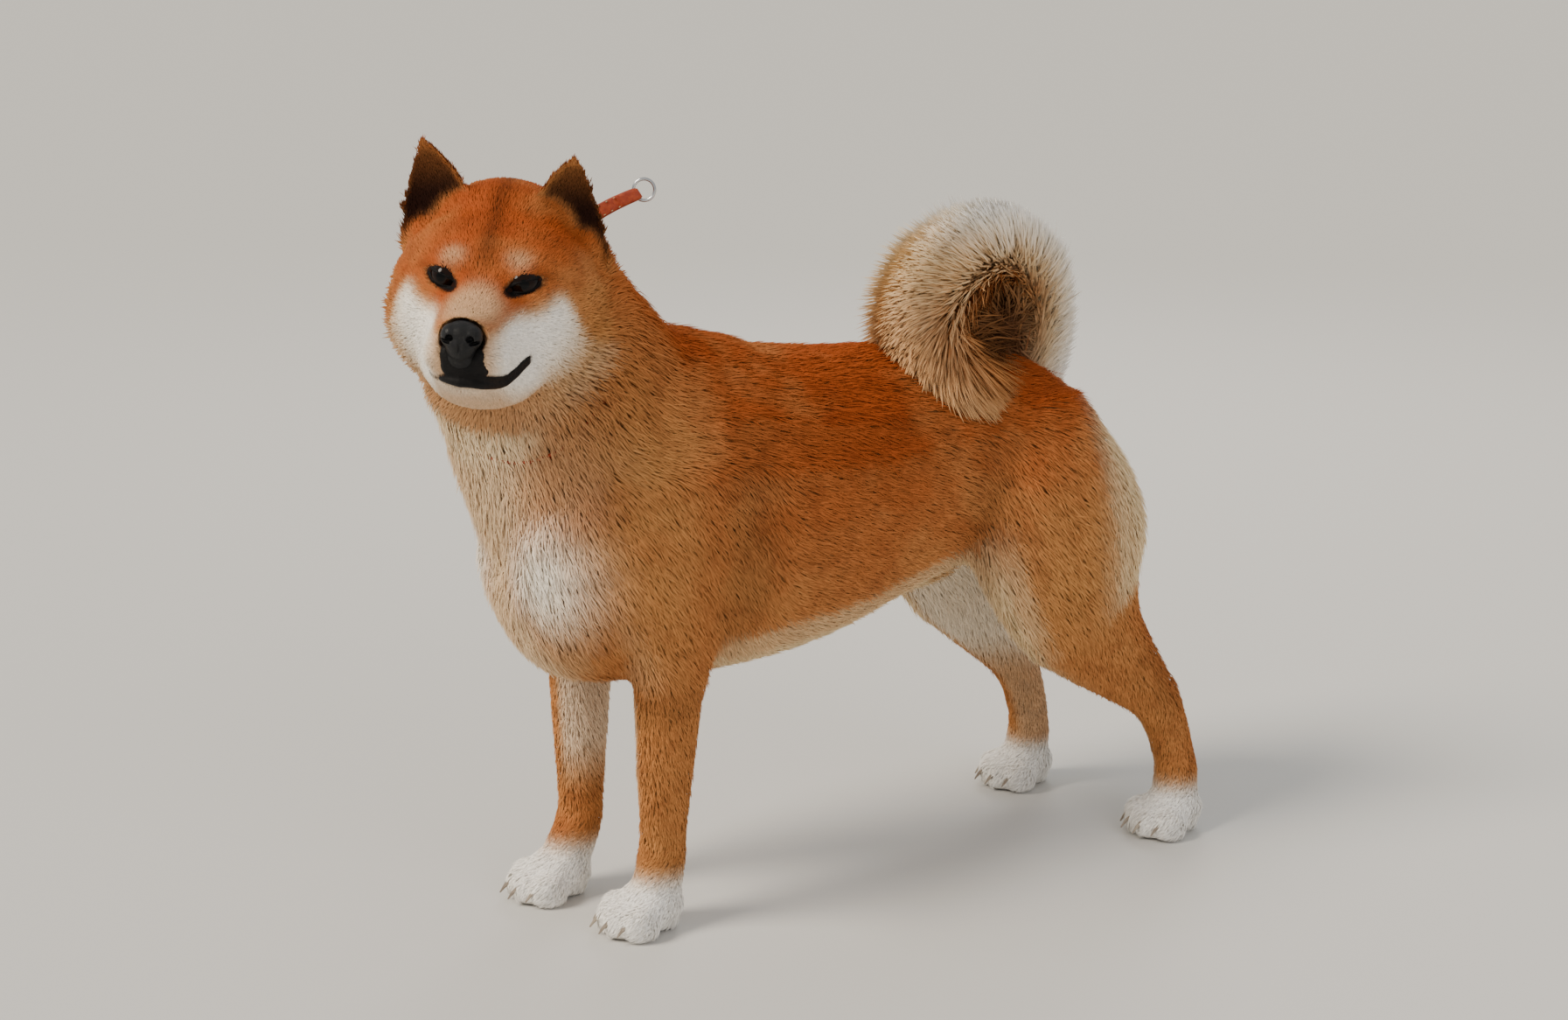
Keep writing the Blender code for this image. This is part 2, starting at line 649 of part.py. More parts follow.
def collar(skin):
    """A leather band let into the neck's coat, with a tab that stands off to a steel ring."""
    tree = BVHTree.FromObject(skin, bpy.context.evaluated_depsgraph_get())
    centre = (NAPE_OF_COLLAR + THROAT_OF_COLLAR) / 2
    up = (NAPE_OF_COLLAR - THROAT_OF_COLLAR).normalized()
    across = (COLLAR_ACROSS - up * COLLAR_ACROSS.dot(up)).normalized()
    lie = up.cross(across)
    shape = bmesh.new()
    rings = []
    count = 22
    for k in range(count):
        turn = math.tau * k / count
        aim = up * math.cos(turn) + across * math.sin(turn)
        reach = (tree.ray_cast(centre + aim * 0.2, -aim, 0.2)[0] - centre).length
        near, far = reach - STRAP_THICKNESS + 0.0010, reach + 0.0010
        corners = [(near, -1), (near, 1), (far, 1), (far, -1)]
        rings.append([shape.verts.new(centre + aim * r + lie * STRAP_WIDTH / 2 * s) for r, s in corners])
    for low, high in zip(rings, rings[1:] + rings[:1]):
        for k in range(4):
            after = (k + 1) % 4
            shape.faces.new((low[k], low[after], high[after], high[k]))
    bmesh.ops.triangulate(shape, faces=shape.faces)
    bmesh.ops.recalc_face_normals(shape, faces=shape.faces)
    band = gathered("collar", [shape])
    top = centre + up * ((tree.ray_cast(centre + up * 0.2, -up, 0.2)[0] - centre).length - 0.003)
    along = (RING_AT - top).normalized()
    view = (HEAD_FRAME.to_3x3() @ Vector((0, -1, 0))).normalized()
    facing = (view - along * view.dot(along)).normalized()
    wide = facing.cross(along)
    end = RING_AT - along * (RING_RADIUS - 0.0035)
    stops = [(0.0, 0.9, 1.0), (0.35, 1.0, 1.0), (0.80, 0.95, 1.0), (0.84, 0.9, 1.5), (0.97, 0.85, 1.7), (1.0, 0.75, 1.1)]
    sections = []
    for share, broad, thick in stops:
        sag = wide * 0.004 * math.sin(math.pi * share)
        sections.append((top.lerp(end, share) + sag, wide * STRAP_WIDTH / 2 * broad, facing * STRAP_THICKNESS / 2 * thick))
    tab = gathered("tab", [loft(sections, sides=12, power=5)])
    combine(band, [tab], "UNION")
    ring_shape = bmesh.new()
    loops = []
    around, wire_sides = 16, 6
    for i in range(around):
        out = along * math.cos(math.tau * i / around) + wide * math.sin(math.tau * i / around)
        loop = []
        for k in range(wire_sides):
            c, s = math.cos(math.tau * k / wire_sides), math.sin(math.tau * k / wire_sides)
            loop.append(ring_shape.verts.new(RING_AT + out * (RING_RADIUS + RING_WIRE * c) + facing * RING_WIRE * s))
        loops.append(loop)
    for low, high in zip(loops, loops[1:] + loops[:1]):
        for k in range(wire_sides):
            after = (k + 1) % wire_sides
            ring_shape.faces.new((low[k], low[after], high[after], high[k]))
    bmesh.ops.recalc_face_normals(ring_shape, faces=ring_shape.faces)
    ring = gathered("collar_ring", [ring_shape])
    combine(band, [swollen(ring, 0.0004)], "DIFFERENCE")
    return keep_largest(band), ring


TAIL_LINE = [
    (0.000, 0.340, 0.318, 0.0200),
    (0.000, 0.361, 0.350, 0.0190),
    (0.000, 0.362, 0.386, 0.0230),
    (0.003, 0.341, 0.420, 0.0310),
    (0.010, 0.302, 0.434, 0.0345),
    (0.018, 0.262, 0.417, 0.0345),
    (0.028, 0.240, 0.384, 0.0330),
    (0.042, 0.250, 0.354, 0.0290),
    (0.056, 0.276, 0.336, 0.0170),
]


def tail_sections(stations):
    """Centre, two unit vectors across, the line's own direction and the coat's radius, from root to tip."""
    points = eased(stations, 4)
    across = Vector((1, 0, 0))
    sections = []
    for i, (x, y, z, radius) in enumerate(points):
        run = Vector(points[min(i + 1, len(points) - 1)][:3]) - Vector(points[max(i - 1, 0)][:3])
        run.normalize()
        across = (across - run * across.dot(run)).normalized()
        sections.append((Vector((x, y, z)), across, run.cross(across), run, radius))
    return sections


def tail_at(sections, place):
    """The section at a place counted in sections. Past the last one the line runs straight on."""
    low = min(max(int(place), 0), len(sections) - 2)
    share = place - low
    here, there = sections[low], sections[low + 1]
    centre = here[0].lerp(there[0], share)
    capped = min(max(share, 0.0), 1.0)
    vectors = [here[k].lerp(there[k], capped).normalized() for k in (1, 2, 3)]
    return (centre, *vectors, here[4] + (there[4] - here[4]) * capped)


def lock(points, widths, thicknesses, outward):
    """A flat tapered lock along the points, with a ridge on its outer side."""
    sections = []
    for i, point in enumerate(points):
        run = (points[min(i + 1, len(points) - 1)] - points[max(i - 1, 0)]).normalized()
        across = run.cross(outward).normalized()
        ridge = across.cross(run)
        sections.append((point, ridge * thicknesses[i] * 0.67, across * widths[i] * 0.577))
    return gathered("lock", [loft(sections, sides=3)])


def clear_of(point, tree, lift):
    """The point moved out to at least that height over the body, and how deep in it the point lay."""
    near, normal, _, _ = tree.find_nearest(point)
    height = (point - near).dot(normal)
    return point + normal * max(lift - height, 0.0), max(-height, 0.0)


def tail_locks(sections, first, last, rings, tree, draw):
    """Rings of locks between two places. Each rises from the core, then lies along the coat's surface to its tip.

    Inside the curl, where the rings draw together, every second one has gaps. Locks that would lie in the back are left out.
    """
    pace = (last - first) / rings
    made = []
    for ring in range(rings):
        for k in range(LOCKS_AROUND):
            turn = math.tau * (k + 0.5 * (ring % 2) + draw.uniform(-0.06, 0.06)) / LOCKS_AROUND
            root = first + pace * (ring + 0.42 + 0.18 * (-1) ** k + draw.uniform(-0.08, 0.08))
            reach, lean = draw.uniform(0.97, 1.03), draw.uniform(0.90, 1.08)
            radius = tail_at(sections, root)[4]
            points, buried, inner = [], 0.0, 0.0
            for rise, along, _, _ in LOCK_FORM:
                place = min(root + lean * along * radius / TAIL_STEP, len(sections) - 0.5)
                centre, across, deep, run, coat = tail_at(sections, place)
                out = across * math.cos(turn) + deep * math.sin(turn)
                bend = tail_at(sections, place + 2)[3] - tail_at(sections, place - 2)[3]
                inner = out.dot(bend.normalized()) if bend.length > 0.02 else 0.0
                point, sunk = clear_of(centre + out * coat * rise * reach, tree, LOCK_CLEARANCE)
                if len(points) == 1:
                    buried = sunk
                points.append(point if points else centre + out * coat * rise)
            if buried > 0.004 or (inner > 0.45 and ring % 2):
                continue
            size = radius / TAIL_RADIUS * (1 - 0.25 * max(inner, 0.0))
            widths = [LOCK_WIDTH * size * wide for _, _, wide, _ in LOCK_FORM]
            thick = [LOCK_THICKNESS * max(size, 0.75) * deep for _, _, _, deep in LOCK_FORM]
            made.append(lock(points, widths, thick, out))
    return made


def tip_locks(sections, tree, draw):
    """The fan of locks at the tail's end, which fall over the left croup and lie on it."""
    made = []
    for k in range(TIP_LOCKS):
        centre, across, deep, run, radius = tail_at(sections, len(sections) - 1 - TIP_BACK * (1 + 0.4 * (k % 2)))
        turn = math.tau * (k + draw.uniform(-0.2, 0.2)) / TIP_LOCKS
        out = across * math.cos(turn) + deep * math.sin(turn)
        aim = (run + out * 0.45).normalized()
        length = TIP_LOCK_LENGTH * draw.uniform(0.85, 1.1)
        points = []
        for share in (0.0, 0.40, 0.75, 1.0):
            point = centre + out * radius * 0.2 + aim * length * share + FAN_FALL * length * 0.5 * share**1.6
            points.append(clear_of(point, tree, 0.0035 - 0.0015 * share)[0] if share > 0 else point)
        widths = [LOCK_WIDTH * wide for wide in (0.40, 0.62, 0.50, 0.05)]
        thick = [LOCK_THICKNESS * deep for deep in (0.7, 0.7, 0.5, 0.12)]
        made.append(lock(points, widths, thick, (out + Vector((0.4, 0, 0.3))).normalized()))
    return made


def join_all(obj, pieces):
    """Fuses the pieces to the object in one union."""
    group = bpy.data.collections.new("pieces")
    bpy.context.scene.collection.children.link(group)
    for piece in pieces:
        bpy.context.scene.collection.objects.unlink(piece)
        group.objects.link(piece)
    step = obj.modifiers.new("join", "BOOLEAN")
    step.operation = "UNION"
    step.operand_type = "COLLECTION"
    step.collection = group
    step.solver = "MANIFOLD"
    bake(obj)
    discard(*pieces)
    bpy.data.collections.remove(group)
    return keep_largest(obj)


def tail(body):
    """The curled tail in a few lengths, each a slim core with its coat of locks, cut clear of the back."""
    draw = random.Random(TAIL_SEED)
    sections = tail_sections(TAIL_LINE)
    tree = BVHTree.FromObject(body, bpy.context.evaluated_depsgraph_get())
    count = len(sections) - 1
    lengths = []
    for k in range(TAIL_LENGTHS):
        first = count * k / TAIL_LENGTHS
        last = count * (k + 1) / TAIL_LENGTHS - (CORE_END if k == TAIL_LENGTHS - 1 else 0)
        stops = [first + (last - first) * i / 6 for i in range(7)]
        rings = []
        for i, place in enumerate(stops):
            centre, across, deep, run, radius = tail_at(sections, place)
            inset = {0: GAP / 2, 6: -GAP / 2}.get(i, 0)
            rings.append((centre + run * inset, across * radius * CORE_SHARE, deep * radius * CORE_SHARE))
        length = gathered(f"tail_{k + 1}", [loft(rings, sides=10)])
        pieces = tail_locks(sections, first, last, LOCK_RINGS[k], tree, draw)
        if k == TAIL_LENGTHS - 1:
            pieces += tip_locks(sections, tree, draw)
        join_all(length, pieces)
        seats = [swollen(body)] + [swollen(other, 2 * GAP) for other in lengths[-1:]]
        combine(length, seats, "DIFFERENCE", "MANIFOLD")
        lengths.append(keep_largest(length))
    return lengths


def build_body():
    """The trunk and limbs as one skin, parted into nodes by thin cuts."""
    shapes = torso_shapes() + neck_shapes() + head_shapes()
    for side in SIDES:
        shapes += foreleg_shapes(side) + hindleg_shapes(side)
    torso = fused("torso", shapes, BODY_VOXEL, 5, 3850)
    whole = copy_of(torso, "whole")
    neck_side = split(torso, "neck", neck_cut()[0], -neck_cut()[1])
    at, normal = head_cut()
    discard(split(neck_side, "skull", at, -normal))
    nodes = [torso, neck_side]
    for side, word in SIDES.items():
        nodes += forelimb(torso, side, word) + hindlimb(torso, side, word)
    return whole, neck_side, nodes


def forelimb(torso, side, word):
    """Shoulder, forearm and paw of one side."""
    paw = FORE_PAWS[side]
    blocks = [
        ((side * (0.044 + 0.5), 0.020, 0.2460), (0.5, 0.084, 0.069)),
        ((side * (0.031 + 0.5), 0.027, 0.1605), (0.5, 0.042, 0.020)),
        ((side * (0.004 + 0.5), 0.020, 0.0450), (0.5, 0.084, 0.100)),
    ]
    shoulder = carve_off(torso, f"{word}_shoulder", blocks)
    forearm = split(shoulder, f"{word}_forearm", (0, 0.030, 0.177), (0, 0, -1))
    wrist = Vector((paw.x, paw.y + 0.012, 0.060))
    discard(split(forearm, "shaft", wrist, (0, 0, -1)))
    return [shoulder, forearm, foot(f"{word}_forepaw", foreleg_shapes(side), paw, wrist)]


def hindlimb(torso, side, word):
    """Thigh, gaskin, rear pastern and paw of one side."""
    paw = HIND_PAWS[side]
    reach = paw.y - HIND_PAWS[1].y
    blocks = [
        ((side * (0.030 + 0.5), 0.355, 0.2715), (0.5, 0.100, 0.0435)),
        ((side * (0.020 + 0.5), 0.365, 0.100), (0.5, 0.125, 0.140)),
    ]
    thigh = carve_off(torso, f"{word}_thigh", blocks)
    gaskin = split(thigh, f"{word}_gaskin", (0, 0.350 + 0.3 * reach, 0.178), (0, 0.55, -0.83))
    pastern = split(gaskin, f"{word}_rear_pastern", (0, 0.420 + reach, 0.104), (0, 0.45, -0.89))
    ankle = Vector((paw.x, paw.y + 0.008, 0.046))
    discard(split(pastern, "shaft", ankle, (0, 0, -1)))
    return [thigh, gaskin, pastern, foot(f"{word}_hindpaw", hindleg_shapes(side), paw, ankle)]


def foot(name, leg_shapes, paw, ankle):
    """A paw in finer detail, cut from its leg at the ankle and flat on the floor."""
    obj = fused(name, leg_shapes + paw_shapes(paw), FINE_VOXEL, 3, 12000)
    discard(split(obj, "leg", ankle, (0, 0, 1)))
    thin = obj.modifiers.new("thin", "DECIMATE")
    thin.ratio = 330 / len(obj.data.polygons)
    bake(obj)
    combine(obj, [beyond((0, 0, 0), (0, 0, -1), 0)], "DIFFERENCE")
    return keep_largest(obj)


def claws(paw_object, paw, word):
    """Four claws, each seated in the end of its toe."""
    made = []
    for number, toe in enumerate(toes_of(paw), 1):
        piece = claw(f"{word}_claw_{number}", toe)
        combine(paw_object, [swollen(piece)], "DIFFERENCE")
        made.append(piece)
    keep_largest(paw_object)
    return made


def finish(obj, coat):
    obj.data.materials.clear()
    obj.data.materials.append(material(coat))
    obj.data.shade_smooth()
    obj.data.set_sharp_from_angle(angle=math.radians(50))


def centre_on_floor(nodes):
    """Moves every mesh so that the whole is centred over the origin and stands at height 0."""
    spots = [v.co for obj in nodes for v in obj.data.vertices]
    low = Vector(min(p[i] for p in spots) for i in range(3))
    high = Vector(max(p[i] for p in spots) for i in range(3))
    shift = Vector((-(low.x + high.x) / 2, -(low.y + high.y) / 2, -low.z))
    for obj in nodes:
        obj.data.transform(Matrix.Translation(shift))


def main():
    clear_scene()
    whole, neck, nodes = build_body()
    skull = head()
    nose_leather = nose()
    combine(skull, [swollen(nose_leather)], "DIFFERENCE")
    keep_largest(skull)
    coats = {obj: "red_coat" for obj in nodes + [skull]}
    coats[nose_leather] = "nose_leather"
    for side, word in SIDES.items():
        ear = gathered(f"{word}_ear", [ear_shape(side)])
        combine(ear, [swollen(skull)], "DIFFERENCE")
        coats[keep_largest(ear)] = "red_coat"
        coats[eyeball(f"{word}_eye", side, EYE_RADIUS)] = "eye"
    band, ring = collar(neck)
    combine(neck, [swollen(band)], "DIFFERENCE", "MANIFOLD")
    keep_largest(neck)
    coats[band] = "collar_leather"
    coats[ring] = "ring_steel"
    for length in tail(whole):
        coats[length] = "cream_coat"
    discard(whole)
    by_name = {obj.name: obj for obj in coats}
    for paws, end in ((FORE_PAWS, "fore"), (HIND_PAWS, "hind")):
        for side, word in SIDES.items():
            paw_object = by_name[f"{word}_{end}paw"]
            coats[paw_object] = "cream_coat"
            for piece in claws(paw_object, paws[side], f"{word}_{end}"):
                coats[piece] = "claw"
    for obj, coat in coats.items():
        finish(obj, coat)
    centre_on_floor(list(coats))


main()
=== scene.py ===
"""A shiba inu at life size, as a museum would show it: skin, coat, face, collar and a plain studio.

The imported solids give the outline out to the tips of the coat. One skin is made inside them, a coat's depth
in, and tufts stand on it that reach back out to the outline. Lengths are in metres. Points are written as
they were measured, from the floor midway between the forepaws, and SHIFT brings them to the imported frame.
"""

import math
from collections import namedtuple

import bmesh
import bpy
import numpy as np
from mathutils import Matrix, Vector
from mathutils.bvhtree import BVHTree


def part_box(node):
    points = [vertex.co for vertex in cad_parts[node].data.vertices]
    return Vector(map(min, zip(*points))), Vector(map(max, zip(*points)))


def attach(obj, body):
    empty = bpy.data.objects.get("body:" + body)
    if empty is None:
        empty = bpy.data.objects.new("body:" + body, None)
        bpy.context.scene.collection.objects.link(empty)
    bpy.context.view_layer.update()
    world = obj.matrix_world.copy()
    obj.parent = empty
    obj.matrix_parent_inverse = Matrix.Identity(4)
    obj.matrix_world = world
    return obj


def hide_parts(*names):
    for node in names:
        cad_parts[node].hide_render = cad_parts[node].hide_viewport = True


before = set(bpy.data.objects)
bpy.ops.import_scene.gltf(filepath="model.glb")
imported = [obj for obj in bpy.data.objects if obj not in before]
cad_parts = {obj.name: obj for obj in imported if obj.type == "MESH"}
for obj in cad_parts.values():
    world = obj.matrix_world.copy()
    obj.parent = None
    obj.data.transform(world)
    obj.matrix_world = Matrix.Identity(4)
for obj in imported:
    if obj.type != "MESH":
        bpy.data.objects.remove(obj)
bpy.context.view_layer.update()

# Where the head is carried, and the places of the face in the head's own frame: x left, y back, z up
HEAD_AT = Vector((0.022, -0.0690, 0.422))
HEAD_TURN = math.radians(58.2)
HEAD_NOD = math.radians(-4.6)
HEAD_TILT = math.radians(5.0)
EYE_AT = Vector((0.0222, -0.0362, 0.0160))
EYE_RADIUS = 0.0112
EYE_OUTWARD = math.radians(14)
EAR_ROOTS = {1: Vector((0.0445, 0.013, 0.036)), -1: Vector((0.0420, 0.013, 0.037))}
EAR_TIPS = {1: Vector((0.0445, 0.006, 0.0915)), -1: Vector((0.0530, 0.006, 0.0945))}
EAR_HALF_WIDTH = 0.0280
EAR_ACROSS = Vector((0.87, 0.38, -0.36))
EAR_BACK = Vector((-0.38, 0.92, 0.04))
NOSE_AT = Vector((0, -0.1055, -0.0125))
MOUTH_DEPTH = 0.0006
# The line of the mouth from its middle to the left corner: degrees round from the front, and height
MOUTH = [(0, -0.0368), (35, -0.0388), (70, -0.0388), (96, -0.0345), (121, -0.0275)]

# The collar's plane, its strap and the ring that the tab holds
NAPE_OF_COLLAR = Vector((-0.029, -0.002, 0.450))
THROAT_OF_COLLAR = Vector((-0.004, -0.078, 0.318))
COLLAR_ACROSS = Vector((0.82, 0.57, 0))
STRAP_WIDTH = 0.010
STRAP_THICKNESS = 0.003
STRAP_SQUARENESS = 5.0
TAB_SAG = 0.004
RING_AT = Vector((0.000, 0.046, 0.4835))
RING_RADIUS = 0.0068
RING_WIRE = 0.0011

# The tail's line from the croup round to the tip, with the coat's radius
TAIL_LINE = [
    (0.000, 0.340, 0.318, 0.0200),
    (0.000, 0.361, 0.350, 0.0190),
    (0.000, 0.362, 0.386, 0.0230),
    (0.003, 0.341, 0.420, 0.0310),
    (0.010, 0.302, 0.434, 0.0345),
    (0.018, 0.262, 0.417, 0.0345),
    (0.028, 0.240, 0.384, 0.0330),
    (0.042, 0.250, 0.354, 0.0290),
    (0.056, 0.276, 0.336, 0.0170),
]
TAIL_CORE = 0.60
CURL_CENTRE = (0.300, 0.378)
FAN_FALL = Vector((0.10, 0.15, -0.98))

# The coat, in millimetres, by the part it grows on: depth, tuft length, tuft width and layers
COAT = {
    "head": (4.0, 11.0, 1.00, 3.4),
    "face": (1.5, 6.0, 0.80, 3.2),
    "cheek": (8.0, 17.0, 1.20, 3.6),
    "ear": (0.8, 4.6, 0.68, 3.2),
    "neck": (7.5, 19.0, 1.05, 3.8),
    "torso": (5.2, 16.0, 1.12, 3.3),
    "shoulder": (4.8, 15.0, 1.12, 3.4),
    "forearm": (3.2, 10.0, 1.05, 2.5),
    "forepaw": (1.8, 6.5, 0.90, 2.6),
    "thigh": (6.2, 17.0, 1.15, 3.3),
    "gaskin": (3.6, 11.0, 1.10, 2.5),
    "pastern": (2.4, 8.0, 1.00, 2.6),
    "hindpaw": (1.8, 6.5, 0.90, 2.6),
    "tail": (0.2, 30.0, 1.30, 0.0),
}
# How the hair lies on each part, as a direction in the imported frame
LIE = {
    "neck": (-0.05, 0.55, -0.75),
    "torso": (0.0, 1.0, -0.38),
    "shoulder": (0.0, 0.50, -0.85),
    "forearm": (0.0, 0.22, -1.0),
    "forepaw": (0.0, -0.75, -0.55),
    "thigh": (0.0, 0.60, -0.80),
    "gaskin": (0.0, 0.35, -1.0),
    "pastern": (0.0, 0.05, -1.0),
    "hindpaw": (0.0, -0.75, -0.55),
    "tail": (0.0, 0.3, 1.0),
}
SKIN_VOXEL = 0.0022
TAIL_TUFTS = 26500
SEED = 4

ROOT_DEPTH = 0.0006
FLOOR_GAP = 0.0004
# The most tufts in one piece, the margin of the bake map and half a tuft's patch on it
PIECE_LIMIT = 32000
BAKE_MARGIN = 0.02
BAKE_PATCH = 0.0015

# Colours, as seen on the coat in soft light
FOX_RED = "#A24A1C"
DEEP_RED = "#6A2A14"
GOLDEN = "#C48A50"
CREAM = "#EED6A8"
WHITE = "#FAF6EE"
DARK_BROWN_AND_SHADE = "#2A1710"
# Dark brown for dark fur and for painted shade in the ear cups, the creases and the tail's hollow
UNDERCOAT = "#C9965E"

# The camera, worked out from the photo: its place, the way it looks, its pitch and its focal length
CAMERA_AT = (1.35806, -0.62793, 0.62836)
CAMERA_AHEAD = (-0.868, 0.4965, 0)
CAMERA_PITCH = math.radians(13.19)
FOCAL_PIXELS = 2700
PHOTO_WIDTH_PIXELS = 1793
SENSOR_WIDTH = 36.0


def head_matrix(at):
    """The head's own frame, carried at a point."""
    return (
        Matrix.Translation(at)
        @ Matrix.Rotation(HEAD_TURN, 4, "Z")
        @ Matrix.Rotation(HEAD_NOD, 4, "X")
        @ Matrix.Rotation(HEAD_TILT, 4, "Y")
    )


low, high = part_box("left_eye")
SHIFT = (low + high) / 2 - head_matrix(HEAD_AT) @ EYE_AT
HEAD_FRAME = head_matrix(HEAD_AT + SHIFT)
HEAD_BACK = HEAD_FRAME.inverted()


def place(point):
    """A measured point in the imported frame."""
    return Vector(point[:3]) + SHIFT


def mirrored(vector, side):
    return Vector((vector[0] * side, vector[1], vector[2]))


def eye_frame(side):
    """An eye's own frame: its middle, with y pointing back."""
    turn = Matrix.Rotation(EYE_OUTWARD * side, 4, "Z")
    return HEAD_FRAME @ Matrix.Translation(mirrored(EYE_AT, side)) @ turn


# Arrays of points

def dots(a, b):
    """The dot product of each pair of rows."""
    return np.einsum("ij,ij->i", a, b)


def unit(vectors):
    return vectors / np.maximum(np.linalg.norm(vectors, axis=1, keepdims=True), 1e-12)


def ramp(values, start, end):
    """0 before start and 1 after end, eased."""
    t = np.clip((values - start) / (end - start), 0, 1)
    return t * t * (3 - 2 * t)


def blob(points, centre, radii, soft=0.35):
    """1 inside an ellipsoid and 0 outside, easing over a share of its radius."""
    reach = np.linalg.norm((points - np.array(centre)) / np.array(radii), axis=1)
    return 1 - ramp(reach, 1 - soft, 1 + soft)


def in_head(points):
    """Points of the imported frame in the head's own frame."""
    m = np.array(HEAD_BACK)
    return points @ m[:3, :3].T + m[:3, 3]


def measured(points):
    """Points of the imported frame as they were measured."""
    return points - np.array(SHIFT)


def eased_line(stations, steps):
    """A Catmull-Rom curve through the stations."""
    rows = np.array(stations, float)
    padded = np.vstack([rows[:1], rows, rows[-1:]])
    found = []
    for i in range(len(rows) - 1):
        p, q, r, s = padded[i : i + 4]
        for k in range(steps):
            t = k / steps
            square, cube = 2 * p - 5 * q + 4 * r - s, 3 * q - p - 3 * r + s
            found.append(0.5 * (2 * q + (r - p) * t + square * t**2 + cube * t**3))
    found.append(rows[-1])
    return np.array(found)


def mesh_arrays(mesh):
    """A mesh's points and its triangles."""
    mesh.calc_loop_triangles()
    points = np.zeros(len(mesh.vertices) * 3)
    mesh.vertices.foreach_get("co", points)
    triangles = np.zeros(len(mesh.loop_triangles) * 3, np.int64)
    mesh.loop_triangles.foreach_get("vertices", triangles)
    return points.reshape(-1, 3), triangles.reshape(-1, 3)


def vertex_normals(points, triangles):
    a, b, c = (points[triangles[:, k]] for k in range(3))
    faces = np.cross(b - a, c - a)
    normals = np.zeros_like(points)
    for k in range(3):
        for axis in range(3):
            normals[:, axis] += np.bincount(triangles[:, k], faces[:, axis], len(points))
    return unit(normals)


def tree_of(points, triangles):
    """A search tree over a surface."""
    return BVHTree.FromPolygons([tuple(p) for p in points], [tuple(int(i) for i in t) for t in triangles])


class Spread:
    """Averages a field with its neighbours over a mesh, again and again."""

    def __init__(self, triangles, count):
        edges = np.vstack([triangles[:, [0, 1]], triangles[:, [1, 2]], triangles[:, [2, 0]]])
        self.start = np.concatenate([edges[:, 0], edges[:, 1]])
        self.end = np.concatenate([edges[:, 1], edges[:, 0]])
        self.count = count
        self.total = np.bincount(self.start, minlength=count) + 1.0

    def __call__(self, field, passes):
        wide = field.reshape(self.count, -1).copy()
        for _ in range(passes):
            for column in range(wide.shape[1]):
                near = np.bincount(self.start, wide[self.end, column], self.count)
                wide[:, column] = (wide[:, column] + near) / self.total
        return wide.reshape(field.shape)


# Objects

def add_object(name, mesh):
    made = bpy.data.objects.new(name, mesh)
    bpy.context.scene.collection.objects.link(made)
    return made


def mesh_object(name, points, faces):
    mesh = bpy.data.meshes.new(name)
    mesh.from_pydata([tuple(p) for p in points], [], [tuple(int(i) for i in f) for f in faces])
    mesh.update()
    return add_object(name, mesh)


def moved(made, points):
    """Puts the mesh's points in new places."""
    made.data.vertices.foreach_set("co", points.astype(np.float32).ravel())
    made.data.update()


def face_rings(shape, rings, caps):
    """Faces from ring to ring, with both ends closed or the last ring joined to the first."""
    pairs = list(zip(rings, rings[1:])) + ([] if caps else [(rings[-1], rings[0])])
    count = len(rings[0])
    for before, after in pairs:
        for k in range(count):
            j = (k + 1) % count
            shape.faces.new((before[k], before[j], after[j], after[k]))
    if caps:
        shape.faces.new(rings[0])
        shape.faces.new(rings[-1])


def only(made):
    """Selects this object alone."""
    if bpy.context.object and bpy.context.object.mode != "OBJECT":
        bpy.ops.object.mode_set(mode="OBJECT")
    bpy.ops.object.select_all(action="DESELECT")
    made.select_set(True)
    bpy.context.view_layer.objects.active = made
    return made


def finished(made, kind, **settings):
    """Adds a modifier and applies it."""
    only(made)
    step = made.modifiers.new(kind.lower(), kind)
    for name, value in settings.items():
        setattr(step, name, value)
    bpy.ops.object.modifier_apply(modifier=step.name)
    return made


def settled(made):
    """Puts the object's place into its mesh and shades it smooth."""
    only(made)
    bpy.ops.object.transform_apply(location=True, rotation=True, scale=True)
    bpy.ops.object.shade_smooth()
    return made


def joined(pieces, name):
    """The pieces as one object."""
    bpy.ops.object.select_all(action="DESELECT")
    for piece in pieces:
        piece.select_set(True)
    bpy.context.view_layer.objects.active = pieces[0]
    if len(pieces) > 1:
        bpy.ops.object.join()
    pieces[0].name = name
    pieces[0].data.name = name
    return pieces[0]


def ball(name, matrix, radii, segments=48, rings=32):
    """A sphere primitive, set in place and stretched."""
    bpy.ops.object.select_all(action="DESELECT")
    bpy.ops.mesh.primitive_uv_sphere_add(segments=segments, ring_count=rings, radius=1)
    made = bpy.context.object
    made.name = name
    made.matrix_world = matrix @ Matrix.Diagonal((*radii, 1))
    return settled(made)


# Materials

def linear(hex_colour):
    """An sRGB hex value as linear red, green, blue and alpha."""
    found = []
    for k in (1, 3, 5):
        c = int(hex_colour[k : k + 2], 16) / 255
        found.append(c / 12.92 if c <= 0.04045 else ((c + 0.055) / 1.055) ** 2.4)
    return (*found, 1.0)


def new_material(name, roughness, ior=1.45, **sockets):
    """A material with its node tree and its shader."""
    made = bpy.data.materials.new(name)
    made.use_nodes = True
    shader = made.node_tree.nodes["Principled BSDF"]
    shader.inputs["Roughness"].default_value = roughness
    shader.inputs["IOR"].default_value = ior
    for socket, value in sockets.items():
        shader.inputs[socket.replace("_", " ")].default_value = value
    return made, made.node_tree, shader


def node(tree, kind, links=None, **settings):
    """One node with its settings, its input values and its incoming links."""
    made = tree.nodes.new(kind)
    for name, value in settings.items():
        setattr(made, name, value)
    for socket, value in (links or {}).items():
        if isinstance(value, bpy.types.NodeSocket):
            tree.links.new(value, made.inputs[socket])
        else:
            made.inputs[socket].default_value = value
    return made


